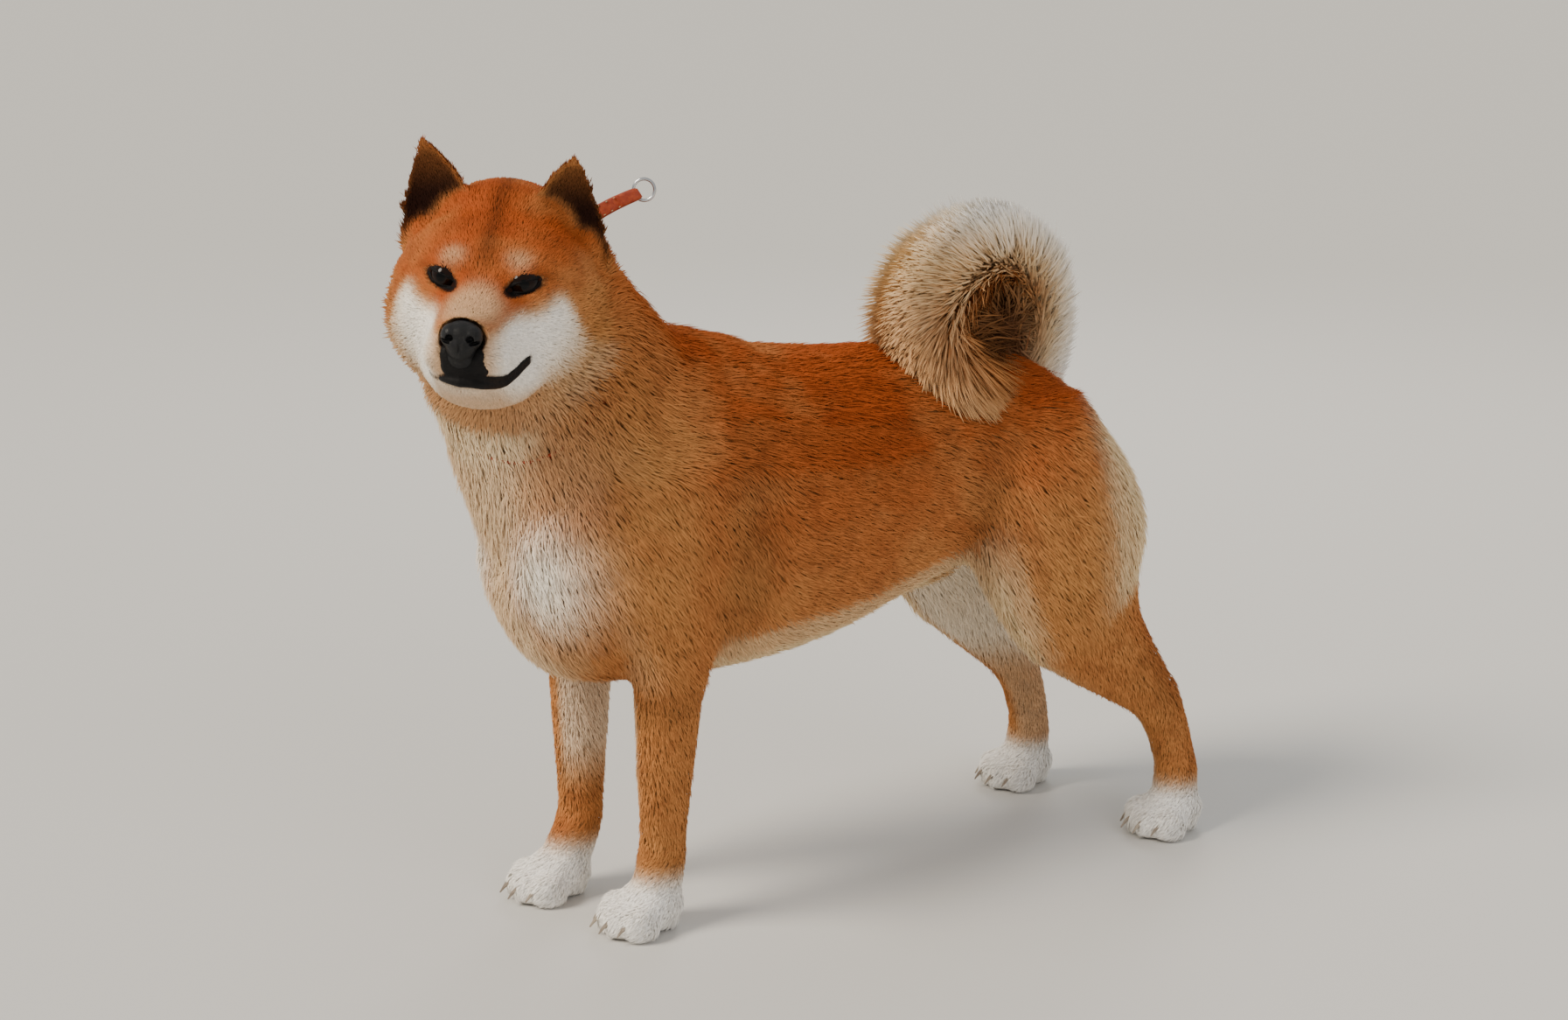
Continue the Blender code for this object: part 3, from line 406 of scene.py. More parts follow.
def blended(tree, share, first, second):
    """One colour into another by a share."""
    links = {0: share, 6: first, 7: second}
    return node(tree, "ShaderNodeMix", links, data_type="RGBA").outputs[2]


def figured(tree, operation, *values):
    """One sum of the values."""
    return node(tree, "ShaderNodeMath", dict(enumerate(values)), operation=operation).outputs[0]


def attribute(tree, name):
    """The three parts of an attribute that the mesh carries."""
    stored = node(tree, "ShaderNodeAttribute", attribute_name=name).outputs["Vector"]
    return node(tree, "ShaderNodeSeparateXYZ", {0: stored}).outputs


def speckle(tree, place_in, millimetres, detail=2.0, roughness=0.55):
    """Noise whose patches are about so many millimetres across."""
    links = {"Vector": place_in, "Scale": 1000.0 / millimetres, "Detail": detail, "Roughness": roughness}
    return node(tree, "ShaderNodeTexNoise", links).outputs["Fac"]


def spans(tree, value, start, end):
    """0 at start to 1 at end."""
    links = {0: value, 1: start, 2: end, 3: 0.0, 4: 1.0}
    return node(tree, "ShaderNodeMapRange", links, interpolation_type="SMOOTHSTEP").outputs[0]


def coat_material(name, on_skin):
    """Hair: matt keratin, pale at its root, red to golden outside, with cream and white markings, and dark
    that is partly dark fur and partly painted shade.
    """
    made, tree, shader = new_material(name, 0.8 if on_skin else 0.70, 1.55, Specular_IOR_Level=0.06)
    place_in = node(tree, "ShaderNodeTexCoord").outputs["Object"]
    pale, white, dark = attribute(tree, "marks")
    along, own, ruddy = attribute(tree, "strand")
    broad = speckle(tree, place_in, 70.0)
    locks = speckle(tree, place_in, 16.0)
    red = blended(tree, ruddy, linear(GOLDEN), linear(FOX_RED))
    red = blended(tree, figured(tree, "MULTIPLY", spans(tree, broad, 0.45, 0.66), 0.35), red, linear(GOLDEN))
    deep = figured(tree, "MULTIPLY", spans(tree, locks, 0.46, 0.72), 0.26)
    red = blended(tree, deep, red, linear(DEEP_RED))
    rooted = spans(tree, along, 0.45, 0.0)
    red = blended(tree, figured(tree, "MULTIPLY", rooted, 0.45), red, linear(UNDERCOAT))
    light = blended(tree, white, linear(CREAM), linear(WHITE))
    coat = blended(tree, pale, red, light)
    # The dark share: dark fur and painted shade
    coat = blended(tree, dark, coat, linear(DARK_BROWN_AND_SHADE))
    shade = figured(tree, "MULTIPLY_ADD", own, 0.30, 0.84)
    shaded = {0: 1.0, 6: coat, 7: shade}
    coat = node(tree, "ShaderNodeMix", shaded, data_type="RGBA", blend_type="MULTIPLY").outputs[2]
    tree.links.new(coat, shader.inputs["Base Color"])
    if on_skin:
        grain = speckle(tree, place_in, 2.4, 3.0, 0.7)
        bump = node(tree, "ShaderNodeBump", {"Height": grain, "Strength": 0.5, "Distance": 0.002})
        tree.links.new(bump.outputs[0], shader.inputs["Normal"])
    return made


def leather_material(name, colour, tint, roughness, grain_mm, height_mm, coat_weight=0.0, specular=0.5):
    """Leather or horn with a pebbled grain, blotched with a second tint."""
    gloss = {"Coat_Weight": coat_weight, "Coat_Roughness": 0.25, "Specular_IOR_Level": specular}
    made, tree, shader = new_material(name, roughness, **gloss)
    place_in = node(tree, "ShaderNodeTexCoord").outputs["Object"]
    pebbles = {"Vector": place_in, "Scale": 1000.0 / grain_mm}
    cells = node(tree, "ShaderNodeTexVoronoi", pebbles, feature="DISTANCE_TO_EDGE")
    patch = speckle(tree, place_in, grain_mm * 6, 3.0)
    creased = spans(tree, cells.outputs["Distance"], 0.0, 0.16)
    colour_out = blended(tree, spans(tree, patch, 0.35, 0.7), linear(colour), linear(tint))
    tree.links.new(colour_out, shader.inputs["Base Color"])
    bump = node(tree, "ShaderNodeBump", {"Height": creased, "Strength": 0.7, "Distance": height_mm / 1000})
    tree.links.new(bump.outputs[0], shader.inputs["Normal"])
    return made


# The skin

# The solids of flesh by the coat they wear
GROUPS = {
    "head": ["head"],
    "ear": ["left_ear", "right_ear"],
    "neck": ["neck"],
    "torso": ["torso"],
    "shoulder": ["left_shoulder", "right_shoulder"],
    "forearm": ["left_forearm", "right_forearm"],
    "forepaw": ["left_forepaw", "right_forepaw"],
    "thigh": ["left_thigh", "right_thigh"],
    "gaskin": ["left_gaskin", "right_gaskin"],
    "pastern": ["left_rear_pastern", "right_rear_pastern"],
    "hindpaw": ["left_hindpaw", "right_hindpaw"],
}
LABELS = list(GROUPS) + ["tail"]


def tail_tube():
    """The bare tail inside its brush, as a closed tube."""
    line = eased_line(TAIL_LINE, 5)
    angles = [math.tau * k / 16 for k in range(16)]
    shape = bmesh.new()
    rings = []
    for i, row in enumerate(line):
        run = Vector(line[min(i + 1, len(line) - 1)][:3]) - Vector(line[max(i - 1, 0)][:3])
        run.normalize()
        across = run.cross(Vector((0, 0.3, 1))).normalized() if abs(run.z) < 0.9 else Vector((1, 0, 0))
        across = (across - run * across.dot(run)).normalized()
        deep = run.cross(across)
        size = row[3] * TAIL_CORE * (1.0 if i < len(line) - 2 else 0.6)
        spots = [place(row) + (across * math.cos(a) + deep * math.sin(a)) * size for a in angles]
        rings.append([shape.verts.new(spot) for spot in spots])
    face_rings(shape, rings, caps=True)
    bmesh.ops.triangulate(shape, faces=shape.faces)
    bmesh.ops.recalc_face_normals(shape, faces=shape.faces)
    mesh = bpy.data.meshes.new("tail_core")
    shape.to_mesh(mesh)
    shape.free()
    return mesh


def flesh():
    """The solids of flesh as one set of triangles, with the part that each belongs to."""
    points, triangles, owners, start = [], [], [], 0
    sources = [(LABELS.index(g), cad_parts[n].data) for g, names in GROUPS.items() for n in names]
    sources += [(LABELS.index("head"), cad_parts[n].data) for n in ("left_eye", "right_eye")]
    sources.append((LABELS.index("tail"), tail_tube()))
    for owner, mesh in sources:
        p, t = mesh_arrays(mesh)
        points.append(p)
        triangles.append(t + start)
        owners.append(np.full(len(t), owner))
        start += len(p)
    return np.vstack(points), np.vstack(triangles), np.concatenate(owners)


def largest_surface(made):
    """Keeps the outer surface only."""
    shape = bmesh.new()
    shape.from_mesh(made.data)
    seen, bodies = set(), []
    for start in shape.faces:
        if start in seen:
            continue
        seen.add(start)
        body, front = [], [start]
        while front:
            face = front.pop()
            body.append(face)
            for edge in face.edges:
                for other in edge.link_faces:
                    if other not in seen:
                        seen.add(other)
                        front.append(other)
        bodies.append(body)
    bodies.sort(key=len)
    for body in bodies[:-1]:
        bmesh.ops.delete(shape, geom=body, context="FACES")
    shape.to_mesh(made.data)
    shape.free()


def collar_plane():
    """The middle of the collar, the way up its plane, across it, and the way the neck runs through it."""
    nape, throat = place(NAPE_OF_COLLAR), place(THROAT_OF_COLLAR)
    up = (nape - throat).normalized()
    across = (COLLAR_ACROSS - up * COLLAR_ACROSS.dot(up)).normalized()
    return (nape + throat) / 2, up, across, up.cross(across)


def fill_collar_seat(made):
    """Eases away the groove that the solids keep for the band, because the visible band lies in the coat."""
    points, triangles = mesh_arrays(made.data)
    centre, _, _, lie = (np.array(v) for v in collar_plane())
    off = points - centre
    near = 1 - ramp(np.abs(off @ lie), 0.010, 0.018)
    near *= 1 - ramp(np.linalg.norm(off, axis=1), 0.095, 0.11)
    soft = Spread(triangles, len(points))
    for _ in range(6):
        eased = soft(points, 8)
        points = points + (eased - points) * near[:, None]
    moved(made, points)


def ease_croup(made):
    """Rounds the ledge behind the root of the tail."""
    points, triangles = mesh_arrays(made.data)
    near = blob(measured(points), (0, 0.388, 0.318), (0.065, 0.045, 0.042), 0.5)
    soft = Spread(triangles, len(points))
    for _ in range(14):
        points = points + (soft(points, 8) - points) * near[:, None]
    moved(made, points)


def build_outline():
    """The smooth outer surface of the coat, without the tail's brush, and the solids it was made from."""
    points, triangles, owners = flesh()
    made = mesh_object("skin", points, triangles)
    only(made)
    bpy.ops.object.mode_set(mode="EDIT")
    bpy.ops.mesh.select_all(action="SELECT")
    bpy.ops.mesh.remove_doubles(threshold=1e-6)
    bpy.ops.object.mode_set(mode="OBJECT")
    finished(made, "REMESH", mode="VOXEL", voxel_size=SKIN_VOXEL)
    largest_surface(made)
    finished(made, "SMOOTH", factor=0.5, iterations=6)
    finished(made, "TRIANGULATE")
    fill_collar_seat(made)
    ease_croup(made)
    return made, (points, triangles, owners)


class Surface:
    """The outer surface with what the coat needs to know at each of its points."""

    def __init__(self, made, solids):
        self.points, self.triangles = mesh_arrays(made.data)
        self.normals = vertex_normals(self.points, self.triangles)
        self.spread = Spread(self.triangles, len(self.points))
        points, triangles, owners = solids
        tree = tree_of(points, triangles)
        self.label = np.array([owners[tree.find_nearest(Vector(p))[2]] for p in self.points])
        self.head = in_head(self.points)
        self.at = measured(self.points)
        self.set_coat()
        self.set_lie()
        self.marks = self.spread(markings_and_shade(self), 2)
        tail = self.is_on("tail")
        self.marks[tail] = tail_marks_light_and_shade(self.at[tail]) + np.array([0.25, 0, 0])

    def is_on(self, *names):
        """Which points belong to these parts."""
        found = np.zeros(len(self.points), bool)
        for name in names:
            found |= self.label == LABELS.index(name)
        return found

    def set_coat(self):
        """Depth, length and width of the coat in metres, and how many layers lie over each other."""
        table = np.array([COAT[name] for name in LABELS])
        values = table[self.label].copy()
        head = self.is_on("head")
        face = ramp(-self.head[:, 1], -0.012, 0.035)
        face = np.maximum(face, ramp(self.head[:, 2], 0.028, 0.048) * 0.55)
        values[head] = values[head] * (1 - face[head, None]) + np.array(COAT["face"]) * face[head, None]
        cheek = sum(blob(self.head, (0.058 * s, 0.022, -0.030), (0.034, 0.046, 0.045)) for s in (1, -1))
        fluff = np.clip(cheek, 0, 1) * self.is_on("head", "neck") + 0.9 * self.is_on("ear")
        self.fluff = self.spread(fluff, 6)
        blend = (cheek * head)[:, None] * 0.8
        values = values * (1 - blend) + np.array(COAT["cheek"]) * blend
        croup = blob(self.at, (0, 0.388, 0.325), (0.050, 0.034, 0.034), 0.5)
        values[:, 1] *= 1 - 0.45 * croup
        values = self.spread(values, 30)
        near_floor = ramp(self.points[:, 2], 0.001, 0.012)
        values[:, 0] *= near_floor
        self.depth, self.length, self.width = (values[:, k] / 1000 for k in range(3))
        self.layers = values[:, 3] * (0.15 + 0.85 * ramp(self.points[:, 2], 0.0005, 0.003))

    def set_lie(self):
        """The way the hair lies, as a tangent at each point."""
        lie = np.zeros_like(self.points)
        for name, way in LIE.items():
            lie[self.is_on(name)] = way
        source = np.array(HEAD_FRAME @ Vector((0, -0.125, -0.012)))
        outward = unit(self.points - source)
        back = np.array(HEAD_FRAME.to_3x3() @ Vector((0, 1, 0)))
        head = self.is_on("head")
        lie[head] = outward[head] + back * 0.25
        for side in (1, -1):
            ear = self.is_on("ear") & (self.head[:, 0] * side > 0)
            share, across, half = in_ear(self.head[ear], side)
            way = np.array(mirrored(EAR_ACROSS.normalized(), side))
            rim = ramp(np.abs(across) / half, 0.45, 1.0) * np.sign(across)
            splay = rim * (0.25 + 0.6 * ramp(share, 0.6, 1.0))
            local = np.array([0.05 * side, 0.02, 1.0]) + way * splay[:, None]
            lie[ear] = local @ np.array(HEAD_FRAME.to_3x3()).T
        croup = (ramp(self.at[:, 1], 0.335, 0.375) * self.is_on("torso", "thigh"))[:, None]
        lie = lie * (1 - croup) + np.array([0, 0.12, -1.0]) * croup
        lie = unit(lie)
        for _ in range(3):
            lie = self.spread(lie, 6)
            lie -= self.normals * dots(lie, self.normals)[:, None]
            lie = unit(lie)
        self.lie = lie


def in_ear(head_points, side):
    """Points in an ear's own terms: share of its height, place across it and its half width there."""
    p = head_points * np.array([side, 1, 1])
    root, tip = np.array(EAR_ROOTS[side]), np.array(EAR_TIPS[side])
    run = tip - root
    share = np.clip((p - root) @ run / (run @ run), 0, 1)
    off = p - root - run * share[:, None]
    half = EAR_HALF_WIDTH * (1 - share**1.8) * (1 + 0.12 * share) + 0.0026
    return share, off @ np.array(EAR_ACROSS.normalized()), half


# Painted shade in broad bands, the same on both sides: behind the shoulder, in the flank's crease, at the
# elbow, over the saddle and low on the hind leg. How dark, their middle and radii
PAINTED_SHADE_BANDS = [
    (0.26, (0.090, 0.072, 0.260), (0.06, 0.018, 0.085)),
    (0.24, (0.085, 0.262, 0.245), (0.06, 0.018, 0.070)),
    (0.24, (0.070, 0.000, 0.168), (0.05, 0.050, 0.014)),
    (0.16, (0.050, 0.170, 0.335), (0.07, 0.090, 0.035)),
    (0.20, (0.085, 0.430, 0.135), (0.05, 0.030, 0.030)),
]
# Where the coat is less or more red on both sides: shoulder, haunch, ruff and flank
RUDDIER = [
    (-0.35, (0.085, 0.008, 0.290), (0.05, 0.030, 0.075), 0.6),
    (-0.35, (0.095, 0.335, 0.240), (0.05, 0.060, 0.065), 0.6),
    (-0.30, (0.055, -0.010, 0.370), (0.05, 0.040, 0.065), 0.5),
    (0.22, (0.080, 0.190, 0.285), (0.06, 0.110, 0.060), 0.6),
]


def markings_and_shade(surface):
    """Cream, white and dark on the coat, the dark partly painted shade: one row of three shares for each
    point.
    """
    at, head, normals = surface.at, surface.head, surface.normals
    x, y, z = at.T
    hx, hy, hz = head.T
    aside = np.abs(hx)
    turned = normals @ np.array(HEAD_FRAME.to_3x3())
    on_head = surface.is_on("head").astype(float)
    on_ear = surface.is_on("ear").astype(float)
    pale = np.zeros(len(at))
    white = np.zeros(len(at))
    dark = np.zeros(len(at))

    # The face: white from under the eyes over the cheeks and the sides of the muzzle to the throat
    edge = -0.001 + 0.011 * np.exp(-(((aside - 0.044) / 0.0075) ** 2))
    edge = edge - 0.018 * ramp(aside, 0.050, 0.064) - 0.010 * (1 - ramp(aside, 0.014, 0.024))
    below = 1 - ramp(hz, edge - 0.0065, edge + 0.0055)
    forward = 1 - ramp(hy, -0.044, 0.004)
    face = below * (0.30 + 0.70 * forward) * (0.40 + 0.60 * ramp(aside, 0.012, 0.024))
    chin = 1 - ramp(hz, -0.040, -0.028)
    face = np.maximum(face, chin * (0.30 + 0.42 * forward))
    face *= 1 - 0.30 * ramp(-hz, 0.040, 0.056)
    brows = sum(blob(head, (0.0190 * s, -0.042, 0.0275), (0.0064, 0.02, 0.0046), 0.9) for s in (1, -1))
    brows = brows * 0.34
    bridge = blob(head, (0, -0.085, 0.004), (0.018, 0.032, 0.016), 0.5) * 0.45
    pale = np.maximum(pale, on_head * np.clip(np.maximum.reduce([face, brows, bridge]), 0, 1))
    white = np.maximum(white, on_head * face**1.5 * 0.85 * ramp(-hy, -0.035, 0.045))

    # A darker line down the forehead and a smudge outward from each eye
    median = np.exp(-((hx / 0.0056) ** 2)) * ramp(hz, 0.016, 0.030)
    smudge = blob(np.stack([aside, hy, hz], 1), (0.0360, -0.026, 0.0215), (0.0065, 0.02, 0.0020), 0.5)
    dark = np.maximum(dark, on_head * np.maximum(0.58 * median, 0.60 * smudge))

    # Ears: painted shade, dark brown, in the cup, red behind
    for side in (1, -1):
        ear = surface.is_on("ear", "head") & (hx * side > 0.008) & (hz > 0.014)
        share, across, half = in_ear(head[ear], side)
        ahead = -(turned[ear] * np.array([side, 1, 1])) @ np.array(EAR_BACK.normalized())
        inside = ramp(ahead, -0.10, 0.25) * (1 - ramp(np.abs(across), half - 0.0056, half - 0.0026))
        inside *= (1 - ramp(share, 0.82, 0.93)) * on_ear[ear]
        dark[ear] = np.maximum(dark[ear], inside * (1 - 0.35 * ramp(share, 0.35, 0.9)))

    # Throat, front of the chest, belly
    both = np.stack([np.abs(x), y, z], 1)
    trunk = surface.is_on("neck", "torso", "shoulder", "thigh").astype(float)
    front = ramp(-normals[:, 1], 0.15, 0.75) * (1 - ramp(y, -0.02, 0.03))
    middle = 1 - ramp(np.abs(x + 0.012), 0.026, 0.058)
    chest = front * (0.22 + 0.40 * middle) * ramp(-z, -0.405, -0.33)
    patch = blob(both, (0.043, -0.045, 0.256), (0.028, 0.045, 0.036), 0.85)
    throat = blob(at, (0.004, -0.085, 0.350), (0.050, 0.045, 0.035), 0.4) * 0.8
    belly = ramp(-normals[:, 2], 0.35, 0.85) * ramp(y, 0.02, 0.08) * (1 - ramp(z, 0.26, 0.30))
    pale = np.maximum(pale, trunk * np.clip(np.maximum.reduce([chest, patch, throat, belly * 0.8]), 0, 1))
    white = np.maximum(white, trunk * np.maximum(patch * 0.75, chest * 0.25))

    # Inner faces of the legs, the back edge of the thighs, the feet
    inward = -normals[:, 0] * np.sign(x)
    legs = surface.is_on("forearm", "gaskin", "pastern", "thigh", "shoulder").astype(float)
    legs = legs * (1 - ramp(z, 0.20, 0.27))
    fore = (y < 0.15).astype(float)
    high = ramp(z, 0.075, 0.120)
    share = fore * high * 0.70 + (1 - fore) * (0.35 + 0.65 * ramp(z, 0.10, 0.14))
    inner = legs * ramp(inward, 0.05, 0.65) * share
    behind = surface.is_on("thigh", "torso").astype(float) * ramp(normals[:, 1], -0.25, 0.50)
    behind = behind * (1 - ramp(z, 0.300, 0.375)) * ramp(z, 0.150, 0.215) * ramp(y, 0.335, 0.375)
    stifle = (1 - fore) * legs * ramp(-normals[:, 1], 0.25, 0.75) * ramp(z, 0.11, 0.15)
    feet = 1 - ramp(z, 0.030, 0.052)
    pale = np.maximum.reduce([pale, inner * 0.9, behind * 0.85, stifle * 0.75, feet])
    white = np.maximum.reduce([white, inner * 0.5, feet])
    # Painted shade from the bands above, kept off the pale coat
    shaded = sum(much * blob(both, centre, radii, 0.7) for much, centre, radii in PAINTED_SHADE_BANDS)
    dark = np.maximum(dark, shaded * (1 - pale))
    sole = 1 - ramp(z, 0.0004, 0.0016)
    dark = np.maximum(dark, sole * 0.9)
    return np.stack([pale, white, dark], 1)


def ruddiness(at, normals):
    """How red the coat is, from golden legs and shoulders to a deep red back and crown."""
    x, y, z = at.T
    both = np.stack([np.abs(x), y, z], 1)
    red = 0.42 + 0.55 * ramp(normals[:, 2], -0.15, 0.75)
    for change, centre, radii, soft in RUDDIER:
        red = red + change * blob(both, centre, radii, soft)
    legs = 1 - ramp(z, 0.12, 0.24)
    return np.clip(red * (1 - 0.25 * legs), 0.05, 1)


def make_skin(made, surface):
    """Sinks the outer surface by the coat's depth and gives it the coat's markings and painted shade."""
    slit = 1 - ramp(surface.eye_clear, -0.0042, -0.0005)
    sunk = surface.points - surface.normals * (surface.depth + 0.0030 * slit)[:, None]
    sunk = surface.spread(sunk, 1)
    moved(made, sunk)
    surface.skin = sunk
    surface.skin_normals = vertex_normals(sunk, surface.triangles)
    surface.ruddy = ruddiness(surface.at, surface.normals)
    count = len(sunk)
    strand = np.stack([np.full(count, 0.15), np.full(count, 0.30), surface.ruddy], 1)
    write_attribute(made.data, "marks", surface.marks)
    write_attribute(made.data, "strand", strand)
    made.data.materials.clear()
    made.data.materials.append(SKIN_HAIR)
    made.data.polygons.foreach_set("use_smooth", np.ones(len(made.data.polygons), bool))


def write_attribute(mesh, name, rows):
    """Stores three numbers at each point."""
    layer = mesh.attributes.new(name, "FLOAT_VECTOR", "POINT")
    layer.data.foreach_set("vector", np.ascontiguousarray(rows, np.float32).ravel())


# The coat

def sown(surface, counts_per_area, draw):
    """Roots spread over the skin by a density in tufts a square metre: triangles and shares in them."""
    a, b, c = (surface.skin[surface.triangles[:, k]] for k in range(3))
    area = np.linalg.norm(np.cross(b - a, c - a), axis=1) / 2
    wanted = area * counts_per_area[surface.triangles].mean(1)
    total = np.cumsum(wanted)
    count = int(total[-1])
    spots = (np.arange(count) + draw.random(count)) * total[-1] / count
    found = np.minimum(np.searchsorted(total, spots), len(total) - 1)
    u, v = draw.random(count), draw.random(count)
    over = u + v > 1
    u[over], v[over] = 1 - u[over], 1 - v[over]
    return found, np.stack([1 - u - v, u, v], 1)


def at_roots(surface, field, found, shares):
    """A field of the skin's points, read off at the roots."""
    corners = field[surface.triangles[found]]
    if field.ndim == 1:
        return (corners * shares).sum(1)
    return (corners * shares[:, :, None]).sum(1)


# Many tufts as arrays, a row for each: root, middle and tip, the ways out and across, sizes and colours
Tufts = namedtuple("Tufts", "roots mids tips outs sides width thick marks own ruddy tip_marks")


def picked(tufts, chosen):
    """Some of the tufts."""
    return Tufts(*[field[chosen] for field in tufts])


# A tuft's corners are its root, its left and right edge, its ridge and its tip
FACES = np.array([(0, 2, 1), (1, 2, 4), (0, 3, 2), (0, 1, 3), (3, 4, 2), (1, 4, 3)])
UNDERSIDE = (0, 1)
CORNERS = 5


def coat_piece(name, tufts, uv):
    """One object of closed tufts: three sides, bent at their widest, drawn out to a point at both ends."""
    count = len(tufts.roots)
    half = (tufts.width / 2)[:, None]
    thick = tufts.thick[:, None]
    base, middle, tip = tufts.roots, tufts.mids, tufts.tips
    side, out = tufts.sides, tufts.outs
    rows = np.stack([base, middle - side * half, middle + side * half, middle + out * thick, tip], 1)
    lean = side * 0.35
    above = np.stack([out, out - lean, out + lean, out, out], 1)
    below = np.stack([-out, -out - lean, lean - out, -out, -out], 1)
    points = rows.reshape(-1, 3)
    under = np.repeat(np.isin(np.arange(len(FACES)), UNDERSIDE), 3)[None, :, None]
    normals = np.where(under, below[:, FACES.ravel()], above[:, FACES.ravel()])
    normals = unit(normals.reshape(-1, 3))
    faces = (FACES[None] + (np.arange(count) * CORNERS)[:, None, None]).reshape(-1, 3)
    mesh = bpy.data.meshes.new(name)
    mesh.vertices.add(len(points))
    mesh.vertices.foreach_set("co", points.astype(np.float32).ravel())
    mesh.loops.add(len(faces) * 3)
    mesh.loops.foreach_set("vertex_index", faces.astype(np.int32).ravel())
    mesh.polygons.add(len(faces))
    mesh.polygons.foreach_set("loop_start", np.arange(0, len(faces) * 3, 3, dtype=np.int32))
    mesh.polygons.foreach_set("use_smooth", np.ones(len(faces), bool))
    mesh.update()
    layer = mesh.uv_layers.new(name="OFBake")
    patch = np.array([(0, -1), (-1, 0), (1, 0), (0, 0), (0, 1)]) * BAKE_PATCH
    corners = (uv[:, None] + patch[None])[:, FACES.ravel()]
    layer.data.foreach_set("uv", corners.astype(np.float32).ravel())
    along = np.tile([0.0, 0.45, 0.45, 0.5, 1.0], (count, 1))
    own, ruddy = (np.repeat(field[:, None], CORNERS, 1) for field in (tufts.own, tufts.ruddy))
    strand = np.stack([along, own, ruddy], 2)
    share = along[:, :, None]
    marks = tufts.marks[:, None] * (1 - share) + tufts.tip_marks[:, None] * share
    write_attribute(mesh, "marks", marks.reshape(-1, 3))
    write_attribute(mesh, "strand", strand.reshape(-1, 3))
    mesh.normals_split_custom_set(normals.astype(np.float32))
    mesh.materials.append(HAIR)
    return add_object(name, mesh)


def body_tufts(surface, draw):
    """Tufts over all the skin but the tail: rising from the root and then lying along the body."""
    cover = surface.layers / (0.5 * surface.width * surface.length)
    near = np.minimum(surface.eye_clear, surface.lip_clear)
    cover = cover * (3.2 - 2.2 * ramp(near, 0.0, 0.007))
    cover = cover * ramp(surface.eye_clear, 0.0002, 0.0012) * ramp(surface.lip_clear, 0.0, 0.0010)
    cover[surface.is_on("tail")] = 0
    found, shares = sown(surface, cover, draw)

    def pick(field):
        return at_roots(surface, field, found, shares)

    root, normal, way = pick(surface.skin), unit(pick(surface.skin_normals)), pick(surface.lie)
    depth, length, width = pick(surface.depth), pick(surface.length), pick(surface.width)
    marks, ruddy = pick(surface.marks), pick(surface.ruddy)
    near = np.minimum(pick(surface.eye_clear), pick(surface.lip_clear))
    length = length * (0.35 + 0.65 * ramp(near, 0.0, 0.010))
    width = width * (0.60 + 0.40 * ramp(near, 0.0, 0.006))
    depth = depth * (0.35 + 0.65 * ramp(near, 0.0, 0.008))
    count = len(root)
    way = unit(way - normal * dots(way, normal)[:, None])
    side = np.cross(normal, way)
    turn = draw.normal(0, math.radians(11), count)[:, None]
    way = way * np.cos(turn) + side * np.sin(turn)
    side = np.cross(normal, way)
    length = length * draw.uniform(0.75, 1.2, count)
    rise = depth * draw.uniform(0.62, 1.04, count)
    rise = np.where(draw.random(count) < 0.04, depth * draw.uniform(1.05, 1.25, count), rise)
    rise = rise * (1 + 0.55 * pick(surface.fluff))
    width = width * draw.uniform(0.75, 1.25, count)
    ahead = np.sqrt(np.maximum(length**2 - rise**2, (length * 0.4) ** 2))
    base = root - normal * ROOT_DEPTH
    middle = root + normal * (rise * 0.74)[:, None] + way * (ahead * 0.42)[:, None]
    tip = root + normal * rise[:, None] + way * ahead[:, None]
    for spots, gap in ((tip, FLOOR_GAP), (middle, 2 * FLOOR_GAP), (base, FLOOR_GAP)):
        spots[:, 2] = np.maximum(spots[:, 2], gap)
    groups = surface.label[surface.triangles[found, 0]]
    own = draw.random(count)
    tufts = Tufts(base, middle, tip, normal, side, width, width * 0.34, marks, own, ruddy, marks)
    return tufts, groups, root


def tail_marks_light_and_shade(at):
    """White over the top and rear of the curl, partly the tail's own pale hair and partly painted light where
    it is lit, golden elsewhere, and painted shade, dark brown, in its hollow.
    """
    y, z = at[:, 1], at[:, 2]
    reach = np.hypot(y - CURL_CENTRE[0], z - CURL_CENTRE[1])
    turn = np.degrees(np.arctan2(z - CURL_CENTRE[1], y - CURL_CENTRE[0])) % 360
    warm = ramp(turn, 135, 195) * (1 - ramp(turn, 265, 320))
    # Painted light: the top and rear of the curl, where the pale hair is made whiter
    lit = np.where(turn < 200, 1 - ramp(turn, 95, 150), ramp(turn, 290, 335))
    pale = ramp(reach, 0.032, 0.070) * (0.80 - 0.55 * warm + 0.20 * lit)
    white = ramp(reach, 0.054, 0.084) * lit
    # Painted shade, dark brown, in the curl's hollow
    dark = 0.90 * (1 - ramp(reach, 0.016, 0.042)) * ramp(z, 0.342, 0.362)
    return np.stack([pale, white, dark], 1)


